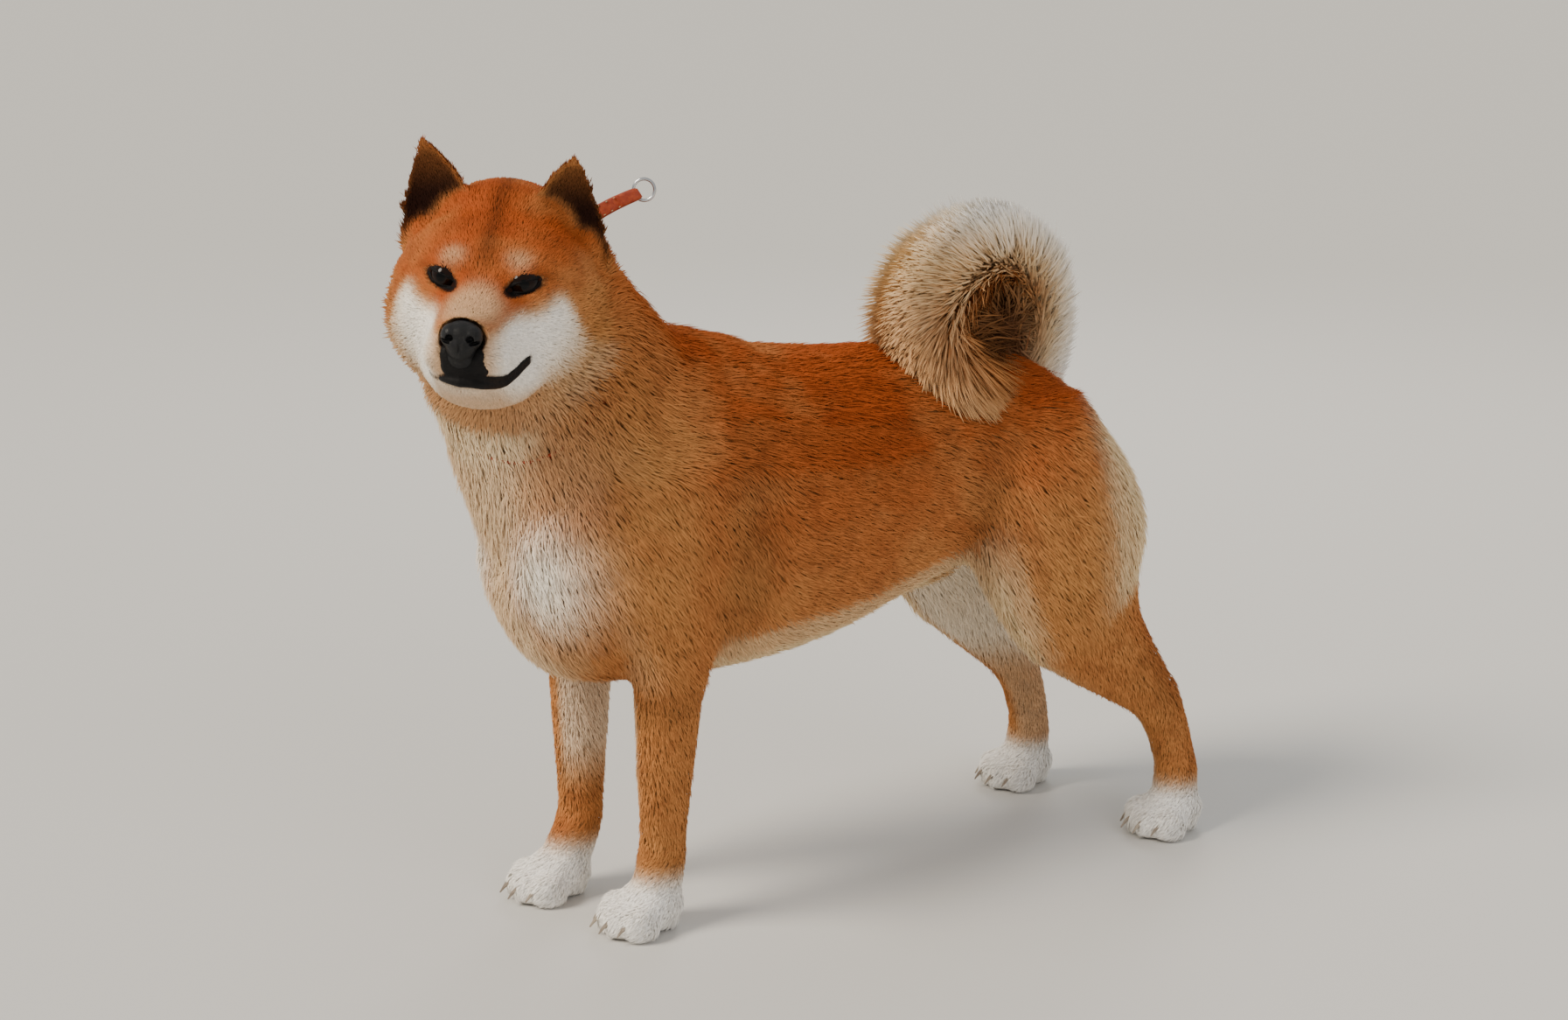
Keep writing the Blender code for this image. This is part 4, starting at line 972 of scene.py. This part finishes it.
def tail_tufts(draw):
    """The brush: hairs that stand off all round, sweep a little to the tip and close the curl's hollow.

    Each tuft comes with its share of the way along the tail and its turn about it.
    """
    line = eased_line(TAIL_LINE, 12)
    runs = unit(np.gradient(line[:, :3], axis=0))
    steps = np.linalg.norm(np.diff(line[:, :3], axis=0), axis=1)
    weight = np.concatenate([[0], np.cumsum(steps * (line[1:, 3] + line[:-1, 3]))])
    count = TAIL_TUFTS
    spots = (np.arange(count) + draw.random(count)) / count * weight[-1]
    stations = np.arange(len(line))
    where = np.interp(spots, weight, stations)

    def along_tail(rows):
        return np.stack([np.interp(where, stations, column) for column in rows.T], 1)

    centre, radius = along_tail(line[:, :3]), np.interp(where, stations, line[:, 3])
    run = unit(along_tail(runs))
    share = where / (len(line) - 1)
    across = np.tile([1.0, 0, 0], (count, 1))
    across = unit(across - run * dots(across, run)[:, None])
    deep = np.cross(run, across)
    turn = (np.arange(count) * 0.618034 + draw.random(count) * 0.08) * math.tau
    out = across * np.cos(turn)[:, None] + deep * np.sin(turn)[:, None]
    late = ramp(share, 0.80, 1.0)[:, None]
    early = 1 - ramp(share, 0.0, 0.22)[:, None]
    away = (centre - np.array([0, *CURL_CENTRE])) * np.array([0, 1, 1])
    away = unit(away - run * dots(away, run)[:, None])
    facing_out = dots(out, away)
    inside = (1 - ramp(facing_out, -0.9, -0.2))[:, None]
    flank = ramp(facing_out, -1.0, -0.1)[:, None] * (1 - late) * (1 - early)
    toward = out * 0.46 + away * flank * 0.90 + run * (0.42 + 0.5 * early + 0.8 * late)
    toward = toward + np.array(FAN_FALL) * late * 0.9
    toward = unit(toward + draw.normal(0, 0.11, (count, 3)))
    late, early, inside = late[:, 0], early[:, 0], inside[:, 0]
    inner = radius * TAIL_CORE
    filled = inside * (1 - late) * (1 - 0.4 * early)
    longer = 1 + filled * np.where(out[:, 0] < 0.2, 1.10, 0.42) + 0.18 * early
    outer = radius * draw.uniform(0.82, 1.03, count) * longer
    stand = (outer - inner) / np.maximum(dots(toward, out), 0.42)
    stand = np.minimum(stand, radius * (1.15 + 0.25 * late + 0.7 * filled))
    base = centre + out * (inner - 0.0012)[:, None]
    inward = (filled > 0.35) & (draw.random(count) < 0.55)
    whorl = unit(draw.normal(0, 0.22, (count, 3)) - away + run * 0.30)
    toward = np.where(inward[:, None], whorl, toward)
    to_middle = np.hypot(base[:, 1] - CURL_CENTRE[0], base[:, 2] - CURL_CENTRE[1])
    stand = np.where(inward, to_middle * draw.uniform(0.75, 1.20, count), stand)
    curl = run * (0.10 * stand)[:, None]
    bend = out * (0.10 * stand * (1 - filled))[:, None]
    middle = base + toward * (stand * 0.50)[:, None] + bend - curl * 0.5
    tip = base + toward * stand[:, None] + curl * 0.3
    face = out + away * -0.5 * flank + run * -0.4 + draw.normal(0, 0.30, (count, 3))
    face = unit(face - toward * dots(face, toward)[:, None])
    side = np.cross(face, toward)
    outs = unit(out * 0.6 + face * 0.8)
    width = draw.uniform(0.0013, 0.0021, count)
    tips = tail_marks_light_and_shade(tip)
    marks = 0.45 * tail_marks_light_and_shade(centre + out * inner[:, None]) + 0.55 * tips
    own = draw.random(count)
    # Redder, darker hair on the inner side of the curl is painted shade
    ruddy = np.full(count, 0.18) + 0.5 * early + 0.15 * inside
    base, middle, tip = (spots + np.array(SHIFT) for spots in (base, middle, tip))
    tufts = Tufts(base, middle, tip, outs, side, width, width * 0.5, marks, own, ruddy, tips)
    return tufts, share, turn


def in_margins(shares):
    """Shares from 0 to 1 drawn in from the edges of the bake map."""
    return BAKE_MARGIN + (1 - 2 * BAKE_MARGIN) * shares


def wrapped(root, centre, axis, top):
    """Where roots lie when the skin about an axis is rolled out flat, from 0 to 1 both ways."""
    axis = Vector(axis).normalized()
    zero = Vector(top) - axis * Vector(top).dot(axis)
    zero.normalize()
    third = axis.cross(zero)
    off = root - np.array(centre)
    angle = np.arctan2(off @ np.array(third), -(off @ np.array(zero)))
    along = off @ np.array(axis)
    spread = (along - along.min()) / max(np.ptp(along), 1e-6)
    return in_margins(np.stack([angle / math.tau + 0.5, spread], 1))


# The coat's regions by the parts that they cover. Those along the middle aren't parted into left and right
REGIONS = {
    "head": ["head", "ear"],
    "neck": ["neck"],
    "torso": ["torso"],
    "shoulders": ["shoulder"],
    "thighs": ["thigh"],
    "fore_legs": ["forearm", "forepaw"],
    "hind_legs": ["gaskin", "pastern", "hindpaw"],
}
MIDDLE_REGIONS = ("head", "neck", "torso")


def unwrapped(region, side, spots):
    """Where roots lie on the unwrap of their region, about the head, the trunk or the leg."""
    if region == "head":
        back = HEAD_FRAME.to_3x3() @ Vector((0, 1, 0))
        return wrapped(spots, HEAD_FRAME.translation, back, (0, 0, 1))
    if region in MIDDLE_REGIONS:
        return wrapped(spots, (0, 0, 0.30), (0, 1, -0.001), (0, 0, 1))
    inward = (-1, 0, 0) if side == "left_" else (1, 0, 0)
    return wrapped(spots, (*spots[:, :2].mean(0), 0), (0, 0, 1), inward)


def shared_out(order):
    """The tufts in numbered lots, each small enough for one piece."""
    lots = max(1, math.ceil(len(order) / PIECE_LIMIT))
    return list(enumerate(np.array_split(order, lots), 1))


def make_coat(surface):
    """The coat's pieces, each small enough to keep every triangle."""
    draw = np.random.default_rng(SEED)
    made = []
    tufts, groups, roots = body_tufts(surface, draw)
    for region, names in REGIONS.items():
        chosen = np.flatnonzero(np.isin(groups, [LABELS.index(n) for n in names]))
        if region in MIDDLE_REGIONS:
            sides, axis = {"": chosen}, 1
        else:
            left = roots[chosen, 0] > 0.0
            sides, axis = {"left_": chosen[left], "right_": chosen[~left]}, 2
        for side, ones in sides.items():
            lots = shared_out(ones[np.argsort(roots[ones, axis], kind="stable")])
            for number, few in lots:
                name = f"coat_{side}{region}" + (f"_{number}" if len(lots) > 1 else "")
                made.append(coat_piece(name, picked(tufts, few), unwrapped(region, side, roots[few])))
    brush, share, turn = tail_tufts(draw)
    for number, few in shared_out(np.argsort(share, kind="stable")):
        along = (share[few] - share[few].min()) / np.ptp(share[few])
        uv = in_margins(np.stack([turn[few] / math.tau % 1, along], 1))
        made.append(coat_piece(f"coat_tail_{number}", picked(brush, few), uv))
    return made


# The face

# The slit between the left eye's lids, seen along the eye's axis: x out to the side and z up
LID_OUTLINE = [
    (-0.0096, -0.0046),
    (-0.0050, -0.0008),
    (0.0005, 0.0014),
    (0.0058, 0.0028),
    (0.0098, 0.0038),
    (0.0074, -0.0008),
    (0.0028, -0.0034),
    (-0.0038, -0.0050),
]
# Rings of the lid from the wet edge outwards: how far out, how high over the ball and how high over the skin
LID_RINGS = [
    (-0.0009, -0.0005, -1),
    (-0.0003, 0.0004, -1),
    (0.0003, 0.0008, 0.0001),
    (0.0010, 0.0008, 0.0001),
    (0.0018, 0.0004, -0.0002),
    (0.0028, -1, -0.0008),
    (0.0042, -1, -0.0020),
]


def clear_of_eyes(surface):
    """How far each point of the skin is outside the dark rim of the nearer eye, in metres."""
    found = np.full(len(surface.points), 1.0)
    for side in (1, -1):
        m = np.array(eye_frame(side).inverted())
        local = surface.points @ m[:3, :3].T + m[:3, 3]
        x, y, z = local[:, 0] * side, local[:, 1], local[:, 2]
        tilt = z + 0.0008 - 0.30 * x
        reach = np.hypot(x / 0.0120, tilt / 0.0056)
        away = (reach - 1) * 0.0080
        found = np.where(y < 0.012, np.minimum(found, away), found)
    return found


def mouth_points(tree):
    """Points of the closed mouth from the right corner round to the left, each with its normal."""
    stations = eased_line([(-a, z) for a, z in reversed(MOUTH[1:])] + MOUTH, 6)
    found = []
    for turn, height in stations:
        turn = math.radians(turn)
        aim = HEAD_FRAME.to_3x3() @ Vector((math.sin(turn), -math.cos(turn), 0))
        hit, normal = tree.ray_cast(HEAD_FRAME @ Vector((0, -0.070, height)), aim, 0.1)[:2]
        found.append((hit - normal * MOUTH_DEPTH, normal))
    return found


def clear_of_lips(surface, line):
    """How far each point of the skin is outside the black of the lips and the nose, in metres."""
    points = np.array([p for p, _ in line])
    found = np.full(len(surface.points), 1.0)
    share = np.linspace(-1, 1, len(points))
    reach = np.where(share > 0, 0.0046 - 0.0022 * share, 0.0012 + 0.0034 * ramp(share, -0.22, 0.0))
    close = np.flatnonzero(surface.is_on("head") & (surface.head[:, 1] < -0.03))
    spots = surface.points[close]
    best = np.full(len(close), 1.0)
    for p, r in zip(points, reach):
        best = np.minimum(best, np.linalg.norm(spots - p, axis=1) - r)
    found[close] = best
    nose_at, nose_radii = np.array([0, -0.1055, -0.018]), np.array([0.0124, 0.014, 0.0150])
    off = np.linalg.norm((surface.head - nose_at) / nose_radii, axis=1)
    return np.minimum(found, (off - 1) * 0.010)


def make_eye(side, word):
    """A ball with a bulging cornea. The pupil and iris are drawn about its own axis."""
    axis = eye_frame(side)
    forward = axis @ Matrix.Rotation(math.radians(90), 4, "X")
    made = ball(f"{word}_eyeball", forward, (EYE_RADIUS,) * 3, 64, 40)
    mesh = made.data
    back = axis.inverted()
    for vert in mesh.vertices:
        spot = back @ vert.co
        off = math.hypot(spot.x, spot.z) / EYE_RADIUS
        if spot.y < 0 and off < 0.72:
            spot.y -= 0.0008 * (1 - (off / 0.72) ** 2)
            vert.co = axis @ spot
    rows = np.zeros((len(mesh.vertices), 3))
    for i, vert in enumerate(mesh.vertices):
        spot = back @ vert.co
        rows[i] = (math.hypot(spot.x, spot.z) if spot.y < 0 else 0.02, math.atan2(spot.z, spot.x), 0)
    write_attribute(mesh, "gaze", rows)
    mesh.materials.append(EYE_GLASS)
    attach(made, "root")
    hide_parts(f"{word}_eye")


def eye_material():
    """A wet eye: black pupil, dark brown iris, brown-grey white at the corners, under a clear film."""
    made, tree, shader = new_material("wet_eye", 0.09, 1.26)
    off = attribute(tree, "gaze")[0]
    place_in = node(tree, "ShaderNodeTexCoord").outputs["Object"]
    fibres = speckle(tree, place_in, 0.7)
    iris = blended(tree, fibres, linear("#080402"), linear("#200F07"))
    iris = blended(tree, spans(tree, off, 0.0062, 0.0078), iris, linear("#0B0605"))
    inside = blended(tree, spans(tree, off, 0.0026, 0.0032), linear("#020202"), iris)
    colour = blended(tree, spans(tree, off, 0.0082, 0.0090), inside, linear("#100B0A"))
    tree.links.new(colour, shader.inputs["Base Color"])
    return made


def make_lids(side, word, skin_tree):
    """Black rim skin round the slit, from the wet edge on the ball out under the short hair."""
    outline = eased_line(LID_OUTLINE + LID_OUTLINE[:1], 5)[:-1]
    axis = eye_frame(side)
    middle = outline.mean(0)
    rings = []
    back = axis.inverted()
    aim = axis.to_3x3() @ Vector((0, 1, 0))
    for push, ball_lift, skin_lift in LID_RINGS:
        ring = []
        for k, (x, z) in enumerate(outline):
            off = Vector(outline[(k + 1) % len(outline)] - outline[k - 1])
            off = Vector((-off.y, off.x)).normalized()
            if off.dot(Vector((x - middle[0], z - middle[1]))) < 0:
                off = -off
            x2, z2 = x + off.x * push, z + off.y * push
            level = []
            r = EYE_RADIUS + ball_lift
            if ball_lift > -1 and r * r > x2 * x2 + z2 * z2 + 1e-6:
                level.append(-math.sqrt(r * r - x2 * x2 - z2 * z2))
            if skin_lift > -1 or not level:
                hit = skin_tree.ray_cast(axis @ Vector((x2 * side, -0.06, z2)), aim, 0.12)[0]
                if hit is not None:
                    level.append((back @ hit).y - max(skin_lift, -0.01))
            ring.append(axis @ Vector((x2 * side, min(level), z2)))
        rings.append(ring)
    count = len(outline)
    points = [p for ring in rings for p in ring]
    faces = []
    for start in range(0, len(points) - count, count):
        for k in range(count):
            j = (k + 1) % count
            faces.append((start + k, start + j, start + count + j, start + count + k))
    made = mesh_object(f"{word}_lids", points, faces)
    shape = bmesh.new()
    shape.from_mesh(made.data)
    bmesh.ops.recalc_face_normals(shape, faces=shape.faces)
    ahead = axis.to_3x3() @ Vector((0, -1, 0))
    outer = [f for f in shape.faces if f.normal.dot(ahead) > 0]
    if len(outer) < len(shape.faces) / 2:
        bmesh.ops.reverse_faces(shape, faces=shape.faces)
    shape.to_mesh(made.data)
    shape.free()
    finished(made, "SUBSURF", levels=1, render_levels=1)
    finished(made, "SOLIDIFY", thickness=0.0010, offset=-1)
    settled(made)
    made.data.materials.append(RIM_SKIN)
    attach(made, "root")


def make_lips(line, outer):
    """Two soft black rolls that meet along the mouth, and the black skin from them up to the nose."""
    pieces = []
    count = len(line)
    for name, shift, fat in (("upper", 0.0019, 0.0025), ("lower", -0.0027, 0.0029)):
        curve = bpy.data.curves.new(f"{name}_lip", "CURVE")
        curve.dimensions = "3D"
        curve.bevel_depth = 1.0
        curve.bevel_resolution = 4
        curve.use_fill_caps = True
        spline = curve.splines.new("POLY")
        spline.points.add(count - 1)
        up = HEAD_FRAME.to_3x3() @ Vector((0, 0, 1))
        for i, (spot, (p, normal)) in enumerate(zip(spline.points, line)):
            share = 2 * i / (count - 1) - 1
            least, sink = (0.86, 0.0010) if share > 0 else (0.34, 0.0030)
            share = abs(share)
            slim = least + (1 - least) * (1 - min(share / 0.25, 1)) - 0.32 * share**3
            at = p + up * shift * slim - normal * (0.0008 + (sink - 0.0008) * min(share / 0.25, 1))
            spot.co = (*at, 1)
            spot.radius = fat * slim
        made = add_object(f"{name}_lip", curve)
        only(made)
        bpy.ops.object.convert(target="MESH")
        pieces.append(bpy.context.object)
    for s in (1, -1):
        flew = HEAD_FRAME @ Matrix.Translation((0.0044 * s + 0.0016, -0.0985, -0.0285))
        pieces.append(ball("flew", flew, (0.0080, 0.0094, 0.0070)))
    ahead = HEAD_FRAME.to_3x3() @ Vector((0, 1, 0))
    for row in range(11):
        share = row / 10
        height = -0.0165 - 0.0165 * share
        first, last = -0.0080 - 0.0006 * share, 0.0080 + 0.0060 * share**2
        for k in range(9):
            across = first + (last - first) * k / 8
            hit, normal = outer.ray_cast(HEAD_FRAME @ Vector((across, -0.2, height)), ahead, 0.2)[:2]
            pieces.append(ball("philtrum", Matrix.Translation(hit - normal * 0.0033), (0.0038,) * 3, 12, 8))
    made = joined(pieces, "lips")
    finished(made, "REMESH", mode="VOXEL", voxel_size=0.0006)
    finished(made, "SMOOTH", factor=0.5, iterations=6)
    settled(made)
    made.data.materials.clear()
    made.data.materials.append(LIP_LEATHER)
    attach(made, "root")


def nose_ball(name, offset, radii, lean=0.0):
    """A ball at a place on the nose, leaning about the head's own y."""
    at = HEAD_FRAME @ Matrix.Translation(NOSE_AT + Vector(offset))
    return ball(name, at @ Matrix.Rotation(math.radians(lean), 4, "Y"), radii)


def make_nose():
    """The nose leather: a blunt pad, wings round two comma nostrils, a groove down the middle."""
    parts = [
        nose_ball("pad", (0, 0, 0), (0.0115, 0.0106, 0.0090)),
        nose_ball("front", (0, -0.0022, -0.0048), (0.0090, 0.0091, 0.0096)),
        nose_ball("stem", (0, 0.0030, -0.0120), (0.0104, 0.0084, 0.0090)),
    ]
    for s in (1, -1):
        parts.append(nose_ball("wing", (0.0061 * s, -0.0025, 0), (0.0060, 0.0080, 0.0072)))
    made = joined(parts, "nose_leather_pad")
    finished(made, "REMESH", mode="VOXEL", voxel_size=0.0007)
    finished(made, "SMOOTH", factor=0.5, iterations=5)
    cutters = []
    for s in (1, -1):
        cutters.append(nose_ball("pit", (0.0060 * s, -0.0112, -0.0010), (0.0025, 0.0050, 0.0022)))
        cutters.append(nose_ball("slit", (0.0092 * s, -0.0085, -0.0028), (0.0040, 0.0042, 0.0012), -18 * s))
    cutters.append(nose_ball("groove", (0, -0.0122, -0.0090), (0.0006, 0.0030, 0.0105)))
    for cutter in cutters:
        only(made)
        step = made.modifiers.new("cut", "BOOLEAN")
        step.operation, step.object, step.solver = "DIFFERENCE", cutter, "EXACT"
        bpy.ops.object.modifier_apply(modifier=step.name)
        bpy.data.objects.remove(cutter, do_unlink=True)
    finished(made, "REMESH", mode="VOXEL", voxel_size=0.00045)
    finished(made, "SMOOTH", factor=0.5, iterations=5)
    settled(made)
    made.data.materials.clear()
    made.data.materials.append(NOSE_LEATHER)
    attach(made, "root")
    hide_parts("nose")


# The collar


def lofted(name, rings, caps=True):
    """A closed mesh through rings of points."""
    shape = bmesh.new()
    face_rings(shape, [[shape.verts.new(p) for p in ring] for ring in rings], caps)
    bmesh.ops.recalc_face_normals(shape, faces=shape.faces)
    mesh = bpy.data.meshes.new(name)
    shape.to_mesh(mesh)
    shape.free()
    return add_object(name, mesh)


def strap_section(at, wide, thick):
    """A strap's cross-section with rounded edges: a superellipse of 16 points."""
    found = []
    for k in range(16):
        turn = math.tau * (k + 0.5) / 16
        a, b = (math.copysign(abs(v) ** (2 / STRAP_SQUARENESS), v) for v in (math.cos(turn), math.sin(turn)))
        found.append(at + wide * a + thick * b)
    return found


def surface_reach(tree, centre, aim):
    """How far a surface is from the middle of the collar."""
    return (tree.ray_cast(centre + aim * 0.2, -aim, 0.2)[0] - centre).length


# The tab from the band to the ring: share of its length, and its breadth and thickness next to the strap's
TAB = [
    (0.00, 0.90, 1.0),
    (0.35, 0.96, 1.0),
    (0.72, 0.92, 1.0),
    (0.80, 0.90, 1.5),
    (0.95, 0.85, 1.7),
    (1.00, 0.62, 1.0),
]


def make_collar(outer, inner):
    """The band in the coat, the tab that stands off from it with its stitching, and the steel ring."""
    centre, up, across, lie = collar_plane()
    rings = []
    for k in range(120):
        turn = math.tau * k / 120
        aim = up * math.cos(turn) + across * math.sin(turn)
        near, far = (surface_reach(tree, centre, aim) for tree in (inner, outer))
        at = centre + aim * (near + (far - near) * 0.04)
        rings.append(strap_section(at, lie * STRAP_WIDTH / 2, aim * 0.0011))
    band = lofted("band", rings, caps=False)
    top, ring_at = centre + up * (surface_reach(outer, centre, up) - 0.007), place(RING_AT)
    along = (ring_at - top).normalized()
    view = (HEAD_FRAME.to_3x3() @ Vector((0, -1, 0))).normalized()
    facing = (view - along * view.dot(along)).normalized()
    wide = facing.cross(along)
    turned = Matrix((along, wide, facing)).transposed().to_4x4()
    end = ring_at - along * (RING_RADIUS - 0.0035)

    def on_tab(share):
        return top.lerp(end, share) + wide * TAB_SAG * math.sin(math.pi * share)

    rings = []
    for share, broad, thick in eased_line(TAB, 5):
        half_width, half_thick = wide * STRAP_WIDTH / 2 * broad, facing * STRAP_THICKNESS / 2 * thick
        rings.append(strap_section(on_tab(share), half_width, half_thick))
    tab = lofted("tab", rings)
    strap = joined([band, tab], "collar_strap")
    settled(strap)
    bpy.ops.object.shade_smooth_by_angle(angle=math.radians(50))
    strap.data.materials.append(STRAP)
    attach(strap, "root")
    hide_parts("collar")
    stitches = []
    for edge in (1, -1):
        for k in range(9):
            share = 0.10 + 0.083 * k
            lift = 0.00162 if share < 0.74 else 0.0024
            for face in (1, -1):
                at = Matrix.Translation(on_tab(share) + wide * edge * 0.0034 + facing * face * lift)
                stitches.append(ball("stitch", at @ turned, (0.00085, 0.00030, 0.00028), 8, 6))
    thread = joined(stitches, "collar_thread")
    settled(thread)
    thread.data.materials.append(THREAD)
    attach(thread, "root")
    bpy.ops.object.select_all(action="DESELECT")
    sizes = {"major_radius": RING_RADIUS, "minor_radius": RING_WIRE}
    bpy.ops.mesh.primitive_torus_add(major_segments=64, minor_segments=20, **sizes)
    ring = bpy.context.object
    ring.name = "ring_wire"
    ring.matrix_world = Matrix.Translation(ring_at) @ turned
    settled(ring)
    ring.data.materials.append(STEEL)
    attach(ring, "root")
    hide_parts("collar_ring")


# The whole dog

HAIR = coat_material("guard_hair", False)
SKIN_HAIR = coat_material("underfur", True)
EYE_GLASS = eye_material()
RIM_SKIN = leather_material("eye_rim_skin", "#080605", "#100A09", 0.65, 0.5, 0.10, specular=0.20)
LIP_LEATHER = leather_material("lip_leather", "#070606", "#0E0B0B", 0.55, 0.7, 0.14, specular=0.22)
NOSE_LEATHER = leather_material("nose_pad_leather", "#060607", "#0D0D10", 0.44, 0.75, 0.20, 0.06, 0.35)
HORN = leather_material("claw_horn", "#85786A", "#A89A88", 0.40, 1.6, 0.05)
STRAP = leather_material("collar_strap_leather", "#8E2F12", "#A8431C", 0.50, 0.5, 0.10)
THREAD = leather_material("waxed_thread", "#C9B48C", "#A8906A", 0.6, 0.4, 0.05)
STEEL, _, steel_shader = new_material("ring_wire_steel", 0.24, Metallic=1.0)
steel_shader.inputs["Base Color"].default_value = linear("#C9CACC")

skin, solids = build_outline()
surface = Surface(skin, solids)
skin_nodes = [n for names in GROUPS.values() for n in names]
outer_tree = tree_of(surface.points, surface.triangles)
mouth = mouth_points(outer_tree)
surface.eye_clear = clear_of_eyes(surface)
surface.lip_clear = clear_of_lips(surface, mouth)
for clear, start, end in ((surface.lip_clear, -0.0008, 0.0016), (surface.eye_clear, -0.0004, 0.0014)):
    surface.marks[:, 2] = np.maximum(surface.marks[:, 2], 1 - ramp(clear, start, end))
make_skin(skin, surface)
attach(skin, "root")
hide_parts(*skin_nodes)
skin_tree = tree_of(surface.skin, surface.triangles)

for side, word in ((1, "left"), (-1, "right")):
    make_eye(side, word)
    make_lids(side, word, skin_tree)
make_lips(mouth, outer_tree)
make_nose()
make_collar(outer_tree, skin_tree)

for piece in make_coat(surface):
    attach(piece, "root")
    if piece.name.startswith("coat_tail"):
        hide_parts("tail_1", "tail_2", "tail_3", "tail_4")

for name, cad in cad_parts.items():
    if "claw" in name:
        cad.data.materials.clear()
        cad.data.materials.append(HORN)

# The studio

bpy.ops.object.select_all(action="DESELECT")
bpy.ops.mesh.primitive_plane_add(size=80, location=(0, 0, 0))
floor = bpy.context.object
floor.name = "floor"
FLOOR, _, floor_shader = new_material("pale_floor", 0.9)
floor_shader.inputs["Base Color"].default_value = linear("#CFCDC8")
floor.data.materials.append(FLOOR)

world = bpy.data.worlds.new("studio")
world.use_nodes = True
world.node_tree.nodes["Background"].inputs[0].default_value = linear("#E8E8E6")
world.node_tree.nodes["Background"].inputs[1].default_value = 0.70
bpy.context.scene.world = world


def lamp(kind, name, at, aim, power, colour="#FFFFFF"):
    """A lamp turned to what it lights. Only the sun shows in shiny surfaces."""
    bpy.ops.object.light_add(type=kind, location=at)
    made = bpy.context.object
    made.name = name
    made.data.energy = power
    made.data.color = linear(colour)[:3]
    made.rotation_euler = (Vector(aim) - Vector(at)).to_track_quat("-Z", "Y").to_euler()
    made.visible_glossy = kind == "SUN"
    return made.data


lamp("SUN", "key", (-0.1, -2.05, 2.2), (0, 0, 0.2), 3.4, "#FFF4E4").angle = math.radians(24)
fill = lamp("AREA", "fill", (2.2, 0.2, 1.4), (0, 0, 0.25), 14, "#F6F6FF")
fill.shape, fill.size = "DISK", 1.6
rim = lamp("AREA", "rim", (-1.6, 1.4, 1.9), (0, 0, 0.3), 14)
rim.shape, rim.size = "DISK", 1.0

bpy.ops.object.camera_add(location=place(CAMERA_AT))
camera = bpy.context.object
ahead = Vector(CAMERA_AHEAD).normalized() * math.cos(CAMERA_PITCH)
view = ahead - Vector((0, 0, math.sin(CAMERA_PITCH)))
camera.rotation_euler = view.to_track_quat("-Z", "Y").to_euler()
camera.data.sensor_width = SENSOR_WIDTH
camera.data.lens = FOCAL_PIXELS / PHOTO_WIDTH_PIXELS * SENSOR_WIDTH
camera.data.clip_start = 0.05
bpy.context.scene.camera = camera
